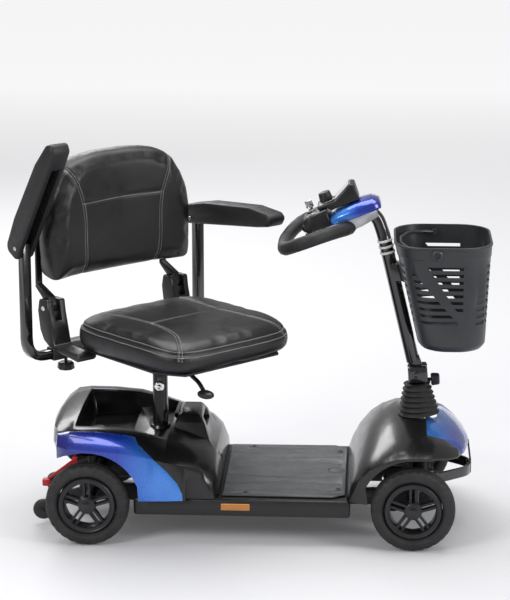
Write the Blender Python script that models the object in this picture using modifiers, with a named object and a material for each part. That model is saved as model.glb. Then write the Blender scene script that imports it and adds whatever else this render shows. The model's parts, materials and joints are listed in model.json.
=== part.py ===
"""A four-wheel take-apart mobility scooter: chassis, steering and tiller, basket, swivel seat.

Metres, +Z up, +X the way the scooter drives. Lengths along X are counted from the rear axle and
the whole machine is then set over the origin. Every group of pieces hangs from an empty that
stands on its joint's axis.
"""
import math

import bmesh
import bpy
from mathutils import Matrix, Vector

# ---- driving dimensions ------------------------------------------------------------------
CENTRE_X = 0.3610         # middle of the machine's length, ahead of the rear axle
GAP = 0.0003
WHEELBASE = 0.745
WHEEL_R, TYRE_W, WHEEL_Y = 0.0965, 0.051, 0.2195
RIM_R, HUB_R, STUB_R = 0.067, 0.020, 0.006
KINGPIN_Y = 0.158
DECK_Z = 0.1082           # top of the floor pan
MAT_T = 0.0051
RAIL_Y, RAIL_W, RAIL_Z0, RAIL_Z1 = 0.085, 0.022, 0.062, 0.0995
SPLIT_1, SPLIT_2 = 0.087, 0.178   # joints across the rear body
PANEL_Y = 0.188           # inner edge of the blue side panels
POST_X, POST_R = 0.148, 0.018
SWIVEL = -45.0            # how far the seat is turned on its post, degrees
ARM_F, ARM_L, ARM_Z = -0.169, 0.262, 0.662
ARM_UP, ARM_REST = 60.0, 6.5      # how far the right and the left arm are raised, degrees
HINGE_F, HINGE_Z = -0.168, 0.520
RAKE = math.radians(4.0)
HEAD_X, HEAD_Z = 0.7555, 0.300    # a point on the steering axis
TILLER_X, TILLER_Z = 0.7500, 0.360
HEAD_TILT = 20.0
ANTITIP_X, ANTITIP_Z, ANTITIP_R = -0.1215, 0.0385, 0.0240
BAIL_X, BAIL_Z = 0.791, 0.669
TUBE = [Vector(p) for p in ((-0.0070, 0, 0.0260), (-0.0810, 0, 0.3310), (-0.0935, 0, 0.3650),
                            (-0.1100, 0, 0.3805))]      # tiller tube, from the tiller's hinge

BLACK = ((0.020, 0.021, 0.023, 1), 0.35, 0.0)
GLOSS = ((0.010, 0.010, 0.011, 1), 0.18, 0.3)
STEEL = ((0.030, 0.030, 0.032, 1), 0.45, 0.6)
BLUE = ((0.012, 0.030, 0.300, 1), 0.22, 0.5)
GREY = ((0.070, 0.072, 0.076, 1), 0.55, 0.0)
RUBBER = ((0.030, 0.030, 0.031, 1), 0.75, 0.0)
CHROME = ((0.75, 0.75, 0.76, 1), 0.12, 1.0)
SILVER = ((0.52, 0.53, 0.55, 1), 0.35, 0.7)
HIDE = ((0.014, 0.014, 0.015, 1), 0.42, 0.0)
RED = ((0.55, 0.02, 0.03, 1), 0.40, 0.0)
AMBER = ((0.80, 0.36, 0.02, 1), 0.30, 0.0)

for old in list(bpy.data.objects):
    bpy.data.objects.remove(old, do_unlink=True)
SCENE = bpy.context.scene
COLLECTION = bpy.data.collections.new("mobility_scooter")
SCENE.collection.children.link(COLLECTION)


# ---- tools -------------------------------------------------------------------------------
def frame(name, parent, at, turn=(0, 0, 0)):
    """An empty that a group of pieces hangs from."""
    empty = bpy.data.objects.new(name, None)
    empty.empty_display_size = 0.04
    empty.parent = parent
    empty.location = at
    empty.rotation_euler = [math.radians(a) for a in turn]
    COLLECTION.objects.link(empty)
    return empty


def thing(mesh, where):
    ob = bpy.data.objects.new("piece", mesh)
    ob.parent = where
    COLLECTION.objects.link(ob)
    return ob


def from_bmesh(bm, where):
    bmesh.ops.recalc_face_normals(bm, faces=bm.faces)
    mesh = bpy.data.meshes.new("piece")
    bm.to_mesh(mesh)
    bm.free()
    return thing(mesh, where)


def settle(ob):
    """Work out the piece's modifiers, and keep the mesh they give."""
    bpy.context.view_layer.update()
    graph = bpy.context.evaluated_depsgraph_get()
    mesh = bpy.data.meshes.new_from_object(ob.evaluated_get(graph))
    ob.modifiers.clear()
    ob.data = mesh
    return ob


def soften(ob, width, segments=1, angle=30):
    if width:
        mod = ob.modifiers.new("bevel", "BEVEL")
        mod.width, mod.segments, mod.limit_method = width, segments, "ANGLE"
        mod.angle_limit = math.radians(angle)
        settle(ob)
    return ob


def combine(ob, how, tools):
    for tool in tools:
        mod = ob.modifiers.new("boolean", "BOOLEAN")
        mod.operation, mod.solver, mod.object = how, "EXACT", tool
        settle(ob)
        bpy.data.objects.remove(tool, do_unlink=True)
    return ob


def cut(ob, *tools):
    return combine(ob, "DIFFERENCE", tools)


def fuse(ob, *tools):
    return combine(ob, "UNION", tools)


def overlap(ob, *tools):
    return combine(ob, "INTERSECT", tools)


def copy(ob):
    return thing(ob.data.copy(), ob.parent)


def reshape(ob, change):
    bm = bmesh.new()
    bm.from_mesh(ob.data)
    change(bm)
    bmesh.ops.recalc_face_normals(bm, faces=bm.faces)
    bm.to_mesh(ob.data)
    bm.free()
    return ob


def even(ob):
    """Give the right side the shape of the left side."""
    def change(bm):
        geom = bm.verts[:] + bm.edges[:] + bm.faces[:]
        bmesh.ops.symmetrize(bm, input=geom, direction="Y", dist=0.00001)
    return reshape(ob, change)


def other_side(ob):
    """A copy of the piece on the other side of the machine."""
    return reshape(copy(ob), lambda bm: bmesh.ops.scale(bm, vec=(1, -1, 1), verts=bm.verts))


def block(where, lo, hi, bevel=0.0, segments=1):
    bm = bmesh.new()
    bmesh.ops.create_cube(bm, size=1.0)
    size = [b - a for a, b in zip(lo, hi)]
    bmesh.ops.scale(bm, vec=size, verts=bm.verts)
    bmesh.ops.translate(bm, vec=[(a + b) / 2 for a, b in zip(lo, hi)], verts=bm.verts)
    return soften(from_bmesh(bm, where), bevel, segments)


def rod(where, start, end, radius, sides=16, end_radius=None, bevel=0.0):
    start, end = Vector(start), Vector(end)
    bm = bmesh.new()
    bmesh.ops.create_cone(bm, cap_ends=True, segments=sides, radius1=radius,
                          radius2=end_radius or radius, depth=(end - start).length)
    turn = (end - start).to_track_quat("Z", "Y").to_matrix().to_4x4()
    bmesh.ops.transform(bm, matrix=Matrix.Translation((start + end) / 2) @ turn, verts=bm.verts)
    return soften(from_bmesh(bm, where), bevel, 1, 50)


def ball(where, at, radius, scale=(1, 1, 1), u=12, v=7):
    bm = bmesh.new()
    bmesh.ops.create_uvsphere(bm, u_segments=u, v_segments=v, radius=radius)
    bmesh.ops.scale(bm, vec=scale, verts=bm.verts)
    bmesh.ops.translate(bm, vec=at, verts=bm.verts)
    return from_bmesh(bm, where)


def slab(where, outline, axis, lo, hi, bevel=0.0, segments=1):
    """A flat outline pushed out along one axis; its two numbers are the other axes in order."""
    k = "XYZ".index(axis)
    bm = bmesh.new()
    ring = []
    for point in outline:
        place = list(point)
        place.insert(k, lo)
        ring.append(bm.verts.new(place))
    face = bm.faces.new(ring)
    pushed = bmesh.ops.extrude_face_region(bm, geom=[face])
    push = [0.0, 0.0, 0.0]
    push[k] = hi - lo
    bmesh.ops.translate(bm, vec=push,
                        verts=[v for v in pushed["geom"] if isinstance(v, bmesh.types.BMVert)])
    return soften(from_bmesh(bm, where), bevel, segments)


def turned(where, profile, at, axis="Z", sides=32, closed=True):
    """A profile of (radius, height) turned round an axis with the Screw modifier."""
    bm = bmesh.new()
    ring = [bm.verts.new((r, 0, h)) for r, h in profile]
    for a, b in zip(ring, ring[1:] + (ring[:1] if closed else [])):
        bm.edges.new((a, b))
    mesh = bpy.data.meshes.new("piece")
    bm.to_mesh(mesh)
    bm.free()
    ob = thing(mesh, None)
    mod = ob.modifiers.new("screw", "SCREW")
    mod.axis, mod.steps, mod.render_steps = "Z", sides, sides
    mod.use_merge_vertices, mod.merge_threshold = True, 0.00001
    settle(ob)
    bm = bmesh.new()
    bm.from_mesh(ob.data)
    bmesh.ops.recalc_face_normals(bm, faces=bm.faces)
    turn = {"Z": Matrix(), "Y": Matrix.Rotation(-math.pi / 2, 4, "X"),
            "X": Matrix.Rotation(math.pi / 2, 4, "Y")}
    spin = turn[axis] if isinstance(axis, str) else \
        Vector(axis).to_track_quat("Z", "Y").to_matrix().to_4x4()
    bmesh.ops.transform(bm, matrix=Matrix.Translation(at) @ spin, verts=bm.verts)
    bm.to_mesh(ob.data)
    bm.free()
    ob.parent = where
    return ob


def rounded(path, radius, steps=4):
    """A polyline with its inner corners turned into arcs."""
    path = [Vector(p) for p in path]
    out = [path[0]]
    for a, b, c in zip(path, path[1:], path[2:]):
        before, after = (a - b).normalized(), (c - b).normalized()
        reach = min(radius, (a - b).length * 0.49, (c - b).length * 0.49)
        for i in range(steps + 1):
            t = i / steps
            p = b + before * reach * (1 - t) ** 2 + after * reach * t ** 2
            out.append(p)
    return out + [path[-1]]


def pipe(where, path, radius, sides=12, ring=False, square=False):
    """A round or square bar along a path of points."""
    curve = bpy.data.curves.new("path", "CURVE")
    curve.dimensions = "3D"
    line = curve.splines.new("POLY")
    line.points.add(len(path) - 1)
    for point, place in zip(line.points, path):
        point.co = (*place, 1)
        point.tilt = math.pi / 4 if square else 0
    line.use_cyclic_u = ring
    curve.bevel_depth, curve.bevel_resolution = radius, (0 if square else sides // 2 - 2)
    curve.use_fill_caps = True
    ob = bpy.data.objects.new("path", curve)
    COLLECTION.objects.link(ob)
    bpy.context.view_layer.update()
    graph = bpy.context.evaluated_depsgraph_get()
    mesh = bpy.data.meshes.new_from_object(ob.evaluated_get(graph))
    bpy.data.objects.remove(ob, do_unlink=True)
    bm = bmesh.new()
    bm.from_mesh(mesh)
    bmesh.ops.remove_doubles(bm, verts=bm.verts, dist=0.00001)
    return from_bmesh(bm, where)


def loft(where, sections):
    """A skin over closed sections of equal length, with flat ends."""
    bm = bmesh.new()
    rings = [[bm.verts.new(p) for p in section] for section in sections]
    for one, two in zip(rings, rings[1:]):
        for i in range(len(one)):
            j = (i + 1) % len(one)
            bm.faces.new((one[i], one[j], two[j], two[i]))
    bm.faces.new(rings[0])
    bm.faces.new(rings[-1])
    return from_bmesh(bm, where)


def finish(ob, name, look, angle=35):
    """Name the piece, give it its own material and smooth its round faces."""
    ob.name = ob.data.name = name
    bm = bmesh.new()
    bm.from_mesh(ob.data)
    bmesh.ops.dissolve_degenerate(bm, dist=0.000002, edges=bm.edges)
    bm.to_mesh(ob.data)
    bm.free()
    mat = bpy.data.materials.new(name)
    mat.use_nodes = True
    shader = mat.node_tree.nodes["Principled BSDF"]
    shader.inputs["Base Color"].default_value = look[0]
    shader.inputs["Roughness"].default_value = look[1]
    shader.inputs["Metallic"].default_value = look[2]
    mat.diffuse_color = look[0]
    ob.data.materials.clear()
    ob.data.materials.append(mat)
    for face in ob.data.polygons:
        face.use_smooth = True
    ob.data.set_sharp_from_angle(angle=math.radians(angle))
    return ob


def arc(cx, cz, radius, start, end, steps):
    out = []
    for i in range(steps + 1):
        a = math.radians(start + (end - start) * i / steps)
        out.append((cx + radius * math.cos(a), cz + radius * math.sin(a)))
    return out


SIDES = (("right", -1), ("left", 1))
BASE = frame("scooter", None, (-CENTRE_X, 0, 0))


# ---- chassis: frame, floor and mat -------------------------------------------------------
def chassis():
    parts = []
    for s in (-1, 1):
        y = s * RAIL_Y
        parts.append(block(BASE, (-0.036, y - RAIL_W / 2, RAIL_Z0), (0.792, y + RAIL_W / 2, RAIL_Z1),
                           0.003))
        arm = slab(BASE, [(-0.030, RAIL_Z0 + 0.002), (-0.030, RAIL_Z0 + 0.028), (-0.060, 0.083),
                          (-0.1315, 0.0455), (-0.1315, 0.0315), (-0.1115, 0.0285)],
                   "Y", y - 0.004, y + 0.004)
        pin = rod(BASE, (ANTITIP_X, y, ANTITIP_Z), (ANTITIP_X, y + s * 0.0265, ANTITIP_Z), 0.004, 12)
        parts += [arm, pin]
    for x in (0.300, 0.560):
        parts.append(block(BASE, (x - 0.012, -RAIL_Y, RAIL_Z0 + 0.004),
                           (x + 0.012, RAIL_Y, RAIL_Z1 - 0.004), 0.002))
    parts.append(block(BASE, (POST_X - 0.030, -RAIL_Y, RAIL_Z0 + 0.003),
                       (POST_X + 0.030, RAIL_Y, RAIL_Z1), 0.002))
    parts.append(block(BASE, (0.770, -RAIL_Y, RAIL_Z0 + 0.004), (0.790, RAIL_Y, RAIL_Z1 - 0.004), 0.002))
    notches = [block(BASE, (0.6755, s * RAIL_Y - 0.02, 0.05), (0.6905, s * RAIL_Y + 0.02, 0.0797))
               for s in (-1, 1)]
    finish(cut(fuse(parts[0], *parts[1:]), *notches), "chassis_frame", STEEL)

    pan = block(BASE, (0.104, -0.212, 0.0665), (0.602, 0.212, DECK_Z), 0.007, 2)
    cut(pan, block(BASE, (0.110, -0.206, 0.05), (0.596, 0.206, RAIL_Z1 + GAP)))
    for s in (-1, 1):
        cut(pan, block(BASE, (0.09, s * RAIL_Y - RAIL_W / 2 - GAP, 0.055),
                       (0.62, s * RAIL_Y + RAIL_W / 2 + GAP, RAIL_Z1 + GAP)))
    finish(pan, "floor_pan", BLACK)

    top = DECK_Z + GAP + MAT_T
    outline = [(0.306, -0.192), (0.560, -0.196), (0.590, -0.178), (0.590, 0.178),
               (0.560, 0.196), (0.306, 0.192)]
    mat = slab(BASE, outline, "Z", DECK_Z + GAP, top, 0.0015)
    grooves = []
    for s in (-1, 1):
        for out, mid in ((0.160, 0.136), (0.105, 0.098), (0.044, 0.060)):
            line = [(0.312 + i * 0.0668, s * (mid + (out - mid) * ((i - 2) / 2) ** 2), top + 0.0004)
                    for i in range(5)]
            grooves.append(pipe(BASE, line, 0.0018, 6))
    cut(mat, *grooves)
    dots = [rod(BASE, (x, s * y, top - 0.001), (x, s * y, top + 0.0014), 0.009, 10)
            for s in (-1, 1) for x, y in ((0.359, 0.175), (0.572, 0.142))]
    ring = turned(BASE, [(0.0185, 0.0005), (0.0205, 0.0005), (0.0205, -0.0012), (0.0185, -0.0012)],
                  (0.566, 0, top), sides=18)
    finish(cut(fuse(mat, *dots), ring), "floor_mat", GREY)


# ---- rear body ---------------------------------------------------------------------------
REAR = [  # x, half width low, at the shoulder, at the rim, heights of shoulder and rim, crown
    (-0.094, 0.075, 0.075, 0.060, 0.226, 0.247, 0.004), (-0.086, 0.150, 0.150, 0.128, 0.228, 0.253, 0.006),
    (-0.070, 0.212, 0.214, 0.180, 0.229, 0.2565, 0.008), (-0.040, 0.233, 0.2365, 0.190, 0.229, 0.258, 0.009),
    (0.020, 0.236, 0.2385, 0.190, 0.227, 0.2575, 0.009), (0.087, 0.236, 0.2380, 0.184, 0.222, 0.2535, 0.008),
    (0.135, 0.236, 0.2350, 0.170, 0.212, 0.2430, 0.007), (0.178, 0.233, 0.2300, 0.156, 0.200, 0.2320, 0.006),
    (0.220, 0.228, 0.2200, 0.140, 0.190, 0.2220, 0.005), (0.262, 0.221, 0.2060, 0.126, 0.178, 0.2080, 0.004),
    (0.286, 0.210, 0.1900, 0.104, 0.163, 0.1900, 0.003), (0.299, 0.196, 0.1700, 0.080, 0.140, 0.1600, 0.002)]
FRONT = [
    (0.5935, 0.205, 0.200, 0.130, 0.112, 0.1200, 0.002), (0.603, 0.214, 0.208, 0.135, 0.132, 0.1520, 0.004),
    (0.620, 0.224, 0.220, 0.140, 0.160, 0.1840, 0.007), (0.645, 0.233, 0.231, 0.145, 0.190, 0.2120, 0.010),
    (0.672, 0.238, 0.236, 0.150, 0.208, 0.2300, 0.013), (0.705, 0.241, 0.239, 0.155, 0.220, 0.2410, 0.015),
    (0.745, 0.241, 0.239, 0.155, 0.223, 0.2450, 0.016), (0.785, 0.234, 0.231, 0.146, 0.221, 0.2440, 0.016),
    (0.818, 0.212, 0.208, 0.128, 0.215, 0.2370, 0.014), (0.845, 0.174, 0.168, 0.100, 0.206, 0.2230, 0.011),
    (0.864, 0.118, 0.112, 0.068, 0.200, 0.2090, 0.006), (0.875, 0.050, 0.046, 0.030, 0.196, 0.2000, 0.002)]


def hull(stations, floor, wall=0.0):
    """The skin over the stations; with a wall it is the hollow inside that skin."""
    sections = []
    for n, (x, low, shoulder, rim, z1, z2, crown) in enumerate(stations):
        if wall:
            x += wall * ((n == 0) - (n == len(stations) - 1))
            low, shoulder, rim = low - wall, shoulder - wall, rim - wall * 0.6
            z1, z2 = z1 - wall * 0.7, z2 - wall
        half = [(low, floor), (shoulder, z1), (shoulder * 0.55 + rim * 0.45, z1 * 0.30 + z2 * 0.70),
                (rim, z2), (rim * 0.5, z2 + crown * 0.75)]
        ring = [(x, -w, z) for w, z in half] + [(x, 0, z2 + crown)] + \
               [(x, w, z) for w, z in reversed(half)]
        sections.append(ring)
    return loft(BASE, sections)


def panel_tool(g, s, whole=False):
    """The outline of a blue side panel pushed out sideways; whole takes the wheel's opening too."""
    arch = [] if whole else arc(0.0, WHEEL_R, 0.1255, 22, 124, 10)
    outline = [(0.081 + g, 0.300), (0.093 + g, 0.262), (0.117 + g, 0.236 + g), (0.150 + g, 0.210 + g),
               (0.1815 + g, 0.1805 + g), (0.207 + g, 0.150 + g), (0.2185 + g, 0.124),
               (0.2205 + g, DECK_Z - 0.02), (-0.0765 - g if whole else 0.120, DECK_Z - 0.02)] + arch + \
              [(-0.0765 - g, 0.232), (-0.0775 - g, 0.300)]
    lo, hi = sorted((s * (PANEL_Y - g), s * 0.28))
    return slab(BASE, outline, "Y", lo, hi)


def rear_body():
    low = DECK_Z + GAP
    shell = hull(REAR, low)
    hollow = hull(REAR[:8], low - 0.05, 0.0035)
    # the panels, cut from the full skin
    panel = overlap(copy(shell), panel_tool(0.0, 1))
    cut(panel, copy(hollow), hull(REAR[7:9], low - 0.02, 0.0035))
    dent = slab(BASE, [(0.119, 0.146), (0.180, 0.143), (0.196, 0.121), (0.130, 0.116)],
                "Y", 0.2355, 0.28, 0.003)
    cut(panel, dent)
    finish(other_side(panel), "side_panel_right", BLUE)
    finish(panel, "side_panel_left", BLUE)
    # the dark covers between them
    skin = even(cut(copy(shell), hollow, panel_tool(GAP, 1, True)))
    rear = overlap(copy(skin), block(BASE, (-0.2, -0.3, 0.160), (SPLIT_1 - GAP, 0.3, 0.4)))
    bottom = block(BASE, (-0.2, -0.3, 0.1), (0.3, 0.3, 0.2235))
    cut(rear, bottom)
    tub = slab(BASE, [(-0.046, 0.2560), (-0.032, 0.190), (SPLIT_1 - GAP, 0.190), (SPLIT_1 - GAP, 0.2530)],
               "Y", -0.159, 0.159)
    well = slab(BASE, [(-0.040, 0.300), (-0.034, 0.250), (-0.0250, 0.1945), (SPLIT_1 + 0.02, 0.2025),
                       (SPLIT_1 + 0.02, 0.300)], "Y", -0.154, 0.154, 0.004)
    cut(fuse(rear, tub), well)
    slot = block(BASE, (-0.030, -0.030, 0.15), (0.015, 0.030, 0.22), 0.006, 2)
    finish(cut(rear, slot), "rear_shroud", BLACK)
    mid = overlap(copy(skin), block(BASE, (SPLIT_1, -0.3, 0.05), (SPLIT_2 - GAP, 0.3, 0.4)))
    bpy.data.objects.remove(skin, do_unlink=True)
    plate = overlap(block(BASE, (SPLIT_1, -0.156, 0.2120), (SPLIT_2 - GAP, 0.156, 0.30)), copy(shell))
    dip = block(BASE, (SPLIT_1 - 0.01, -0.151, 0.2160), (SPLIT_2 + 0.02, 0.151, 0.30))
    collar = rod(BASE, (POST_X, 0, 0.2130), (POST_X, 0, 0.2230), 0.027, 24, 0.0225)
    bore = rod(BASE, (POST_X, 0, 0.1), (POST_X, 0, 0.3), POST_R + 0.0010, 24)
    finish(cut(fuse(cut(fuse(mid, plate), dip), collar), bore), "mid_cover", BLACK)

    pack = overlap(shell, block(BASE, (SPLIT_2, -0.3, 0.05), (0.35, 0.3, 0.4)))
    cut(pack, panel_tool(GAP, 1, True))
    cut(pack, block(BASE, (0.226, 0.2110, 0.10), (0.310, 0.3, 0.158)))
    even(pack)
    tower = loft(BASE, [[(x0, -w, z), (x1, -w, z), (x1, w, z), (x0, w, z)]
                        for x0, x1, w, z in ((0.1815, 0.272, 0.082, 0.200), (0.189, 0.256, 0.064, 0.246),
                                             (0.200, 0.244, 0.050, 0.264))])
    soften(tower, 0.004)
    grip = block(BASE, (0.15, -0.040, 0.2290), (0.30, 0.040, 0.2520), 0.005)
    cut(fuse(pack, tower), grip)
    port = rod(BASE, (0.286, -0.060, 0.168), (0.310, -0.060, 0.158), 0.0125, 20)
    finish(cut(pack, port), "battery_pack", BLACK)


# ---- front body --------------------------------------------------------------------------
def nose_tool(grow):
    return slab(BASE, [(0.776 - grow, 0.32), (0.90, 0.32), (0.90, 0.187 - grow), (0.776 - grow, 0.2295 - grow)],
                "Y", -0.135 - grow, 0.135 + grow)


def steer_point(z):
    return (HEAD_X - (z - HEAD_Z) * math.tan(RAKE), 0, z)


def front_body():
    low = DECK_Z + GAP
    shell = hull(FRONT, low)
    cut(shell, hull(FRONT, low - 0.05, 0.0035))
    arch = [(0.6405, 0.05), (0.6405, 0.120)] + arc(WHEELBASE, WHEEL_R, 0.120, 155, 90, 7) + \
           [(0.800, 0.2140), (0.845, 0.2030), (0.95, 0.1900), (0.95, 0.05)]
    cut(shell, slab(BASE, arch, "Y", -0.4, 0.4))
    cut(shell, block(BASE, (0.585, -0.17, 0.09), (0.62, 0.17, 0.1220)))
    cut(shell, rod(BASE, steer_point(0.1), steer_point(0.4), 0.0440, 28))
    nose = overlap(copy(shell), nose_tool(0.0))
    finish(nose, "nose_panel", BLUE)
    finish(cut(shell, nose_tool(GAP)), "front_shroud", BLACK)

    ribs, count = [], 6
    z0, z1 = -0.0385, 0.0335
    for i in range(count * 2 + 1):
        t = i / (count * 2)
        ribs.append((0.0500 - 0.0175 * t - (0.0065 if i % 2 else 0.0), z0 + (z1 - z0) * t))
    inner = [(0.0190, z1), (0.0190, z1 - 0.006), (0.0300, z1 - 0.016), (0.0400, z0)]
    finish(turned(BASE, ribs + inner, (HEAD_X, 0, HEAD_Z), (-math.sin(RAKE), 0, math.cos(RAKE)), 20),
           "steering_boot", RUBBER)

    hoop = rounded([(0.7925, -0.096, 0.1), (0.820, -0.084, 0.1), (0.884, -0.030, 0.1), (0.884, 0.030, 0.1),
                    (0.820, 0.084, 0.1), (0.7925, 0.096, 0.1)], 0.030, 4)
    outer = [(p.x, p.y) for p in hoop]
    inner = [(p.x - 0.0045, p.y * 0.955) for p in hoop]
    bar = slab(BASE, outer + inner[::-1], "Z", 0.118, 0.142)
    strap = slab(BASE, [(0.8795, 0.118), (0.8840, 0.118), (0.8840, 0.150), (0.8780, 0.1935),
                        (0.8735, 0.1935), (0.8795, 0.150)], "Y", -0.013, 0.013)
    legs = [block(BASE, (0.766, *sorted((s * 0.074, s * 0.0965))[:1], 0.1298),
                  (0.800, *sorted((s * 0.074, s * 0.0965))[1:], 0.1418)) for s in (-1, 1)]
    finish(fuse(bar, strap, *legs), "front_bumper", GLOSS)


# ---- running gear ------------------------------------------------------------------------
def wheel(name, where, s):
    """Tyre and five-spoke rim about the wheel's own centre; s is the outer side."""
    w = TYRE_W / 2
    tyre = turned(where, [(RIM_R + GAP, -w + 0.008), (0.0760, -w), (0.0900, -w + 0.002),
                          (0.0950, -w + 0.011), (WHEEL_R, 0), (0.0950, w - 0.011), (0.0900, w - 0.002),
                          (0.0760, w), (RIM_R + GAP, w - 0.008)], (0, 0, 0), "Y", 26)
    finish(tyre, f"tyre_{name}", RUBBER)
    o = s * (w - 0.0035)
    rim = turned(where, [(0.0530, -s * 0.0155), (RIM_R - GAP, -s * 0.0155), (RIM_R - GAP, s * 0.0150),
                         (RIM_R - 0.004, o), (RIM_R - 0.012, o), (0.0520, o - s * 0.006)],
                 (0, 0, 0), "Y", 20)
    hub = turned(where, [(0.0, s * 0.004), (STUB_R + 0.0004, s * 0.004), (STUB_R + 0.0004, -s * 0.0170),
                         (0.0170, -s * 0.0170), (0.0170, s * 0.002), (0.0225, s * 0.006),
                         (HUB_R, o - s * 0.002), (HUB_R - 0.004, o), (0.0, o)], (0, 0, 0), "Y", 12, closed=False)
    spokes = []
    for i in range(5):
        a = math.radians(90 + 72 * i)
        out, side = Vector((math.cos(a), 0, math.sin(a))), Vector((-math.sin(a), 0, math.cos(a)))
        for k in (-1, 1):
            inner, outer = out * 0.015 + side * k * 0.0062, out * 0.0535 + side * k * 0.0062
            bm = bmesh.new()
            bmesh.ops.create_cube(bm, size=1.0)
            bmesh.ops.scale(bm, vec=(0.0385, 0.0052, 0.0160), verts=bm.verts)
            spin = Matrix((out, side, (0, 1, 0))).transposed().to_4x4()
            mid = (inner + outer) / 2 + Vector((0, o - s * 0.0130, 0))
            bmesh.ops.transform(bm, matrix=Matrix.Translation(mid) @ spin, verts=bm.verts)
            spokes.append(from_bmesh(bm, where))
    finish(fuse(rim, *spokes, hub), f"rim_{name}", GREY)


def running_gear():
    for side, s in SIDES:
        where = frame(f"rear_{side}_axle", BASE, (0, s * WHEEL_Y, WHEEL_R))
        wheel(f"rear_{side}", where, s)
        pin = frame(f"kingpin_{side}", BASE, (WHEELBASE, s * KINGPIN_Y, WHEEL_R))
        reach = s * (WHEEL_Y - KINGPIN_Y)
        knuckle = turned(pin, [(0.0066, -0.020), (0.0140, -0.020), (0.0140, 0.0150), (0.0066, 0.0150)],
                         (0, 0, 0), "Z", 20)
        stub = rod(pin, (0, s * 0.0100, 0), (0, reach + s * 0.0020, 0), STUB_R, 16)
        thick = rod(pin, (0, s * 0.0100, 0), (0, reach - s * 0.0185, 0), 0.0095, 16)
        lever = slab(pin, [(-0.008, s * 0.006), (-0.008, -s * 0.008), (-0.064, -s * 0.022),
                           (-0.072, -s * 0.016), (-0.068, -s * 0.006)], "Z", -0.0185, -0.0105)
        eye = rod(pin, (-0.062, -s * 0.0145, -0.030), (-0.062, -s * 0.0145, 0.0), 0.0035, 12)
        finish(fuse(knuckle, stub, thick, lever, eye), f"steering_knuckle_{side}", STEEL)
        axle = frame(f"front_{side}_axle", pin, (0, reach, 0))
        wheel(f"front_{side}", axle, s)

        roll = frame(f"antitip_{side}_axle", BASE, (ANTITIP_X, s * 0.1010, ANTITIP_Z))
        tread = turned(roll, [(0.0043, -0.0088), (0.0195, -0.0088), (ANTITIP_R, -0.0045),
                              (ANTITIP_R, 0.0045), (0.0195, 0.0088), (0.0043, 0.0088)], (0, 0, 0), "Y", 18)
        finish(tread, f"antitip_wheel_{side}", BLACK)

    beam = block(BASE, (WHEELBASE - 0.0110, -KINGPIN_Y, 0.1130), (WHEELBASE + 0.0110, KINGPIN_Y, 0.1295), 0.003)
    extra = []
    for s in (-1, 1):
        y = s * KINGPIN_Y
        extra.append(rod(BASE, (WHEELBASE, y, 0.1125), (WHEELBASE, y, 0.1305), 0.0150, 20))
        extra.append(rod(BASE, (WHEELBASE, y, 0.0750), (WHEELBASE, y, 0.1200), 0.0060, 16))
        extra.append(block(BASE, (WHEELBASE - 0.018, s * RAIL_Y - 0.010, RAIL_Z1 + GAP),
                           (WHEELBASE + 0.018, s * RAIL_Y + 0.010, 0.1200), 0.001))
    head = rod(BASE, steer_point(0.1135), steer_point(0.2150), 0.0215, 16)
    extra += [block(BASE, (WHEELBASE - 0.0200, -0.034, 0.1130), (0.796, 0.034, 0.1240), 0.002)]
    fuse(beam, head, *extra)
    finish(cut(beam, rod(BASE, steer_point(0.09), steer_point(0.24), 0.0160, 16)), "front_axle", STEEL)

    y = KINGPIN_Y - 0.0145
    link = frame("tie_rod_slide", BASE, (WHEELBASE - 0.062, 0, WHEEL_R - 0.0245))
    rod_ob = rod(link, (0, -y + 0.006, 0), (0, y - 0.006, 0), 0.0040, 12)
    for s in (-1, 1):
        lo, hi = sorted((s * (y - 0.012), s * (y + 0.011)))
        ear = block(link, (-0.0100, lo, -0.0045), (0.0250, hi, 0.0045), 0.001)
        slot = block(link, (-0.0057, s * y - 0.0075, -0.02), (0.0200, s * y + 0.0075, 0.02))
        fuse(rod_ob, cut(ear, slot))
    finish(rod_ob, "tie_rod", STEEL)

    case = rod(BASE, (0, -0.060, WHEEL_R + 0.020), (0, 0.060, WHEEL_R + 0.020), 0.0160, 14)
    gear = rod(BASE, (0, 0.030, WHEEL_R + 0.024), (0, 0.074, WHEEL_R + 0.024), 0.0330, 18, bevel=0.003)
    motor = rod(BASE, (-0.0500, -0.030, 0.160), (-0.0500, 0.050, 0.160), 0.0270, 18, bevel=0.003)
    neck = block(BASE, (-0.060, 0.034, 0.115), (0.010, 0.048, 0.160), 0.003)
    tubes = rod(BASE, (0, -0.185, WHEEL_R), (0, 0.185, WHEEL_R), 0.0110, 12)
    saddles = [block(BASE, (-0.020, s * RAIL_Y - 0.010, RAIL_Z1 + GAP),
                     (0.020, s * RAIL_Y + 0.010, 0.1180), 0.001) for s in (-1, 1)]
    cuts = [block(BASE, (-0.04, s * RAIL_Y - RAIL_W / 2 - GAP, RAIL_Z0 - 0.02),
                  (0.04, s * RAIL_Y + RAIL_W / 2 + GAP, RAIL_Z1 + GAP)) for s in (-1, 1)]
    stubs = [rod(BASE, (0, s * 0.180, WHEEL_R), (0, s * (WHEEL_Y + 0.0020), WHEEL_R), STUB_R, 10)
             for s in (-1, 1)]
    fuse(tubes, case, gear, motor, neck, *saddles)
    finish(fuse(cut(tubes, *cuts), *stubs), "transaxle", STEEL)

    free = frame("freewheel_pivot", BASE, (-0.052, -0.0620, 0.150))
    arm = slab(free, [(0.008, -0.008), (0.008, 0.008), (-0.060, -0.044), (-0.066, -0.053)],
               "Y", -0.003, 0.003)
    knob = block(free, (-0.0760, -0.0090, -0.0660), (-0.0560, 0.0090, -0.0490), 0.003, 2)
    axle = rod(free, (0, -0.001, 0), (0, 0.0310, 0), 0.0050, 12)
    finish(fuse(arm, knob, axle), "freewheel_lever", RED)


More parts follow.
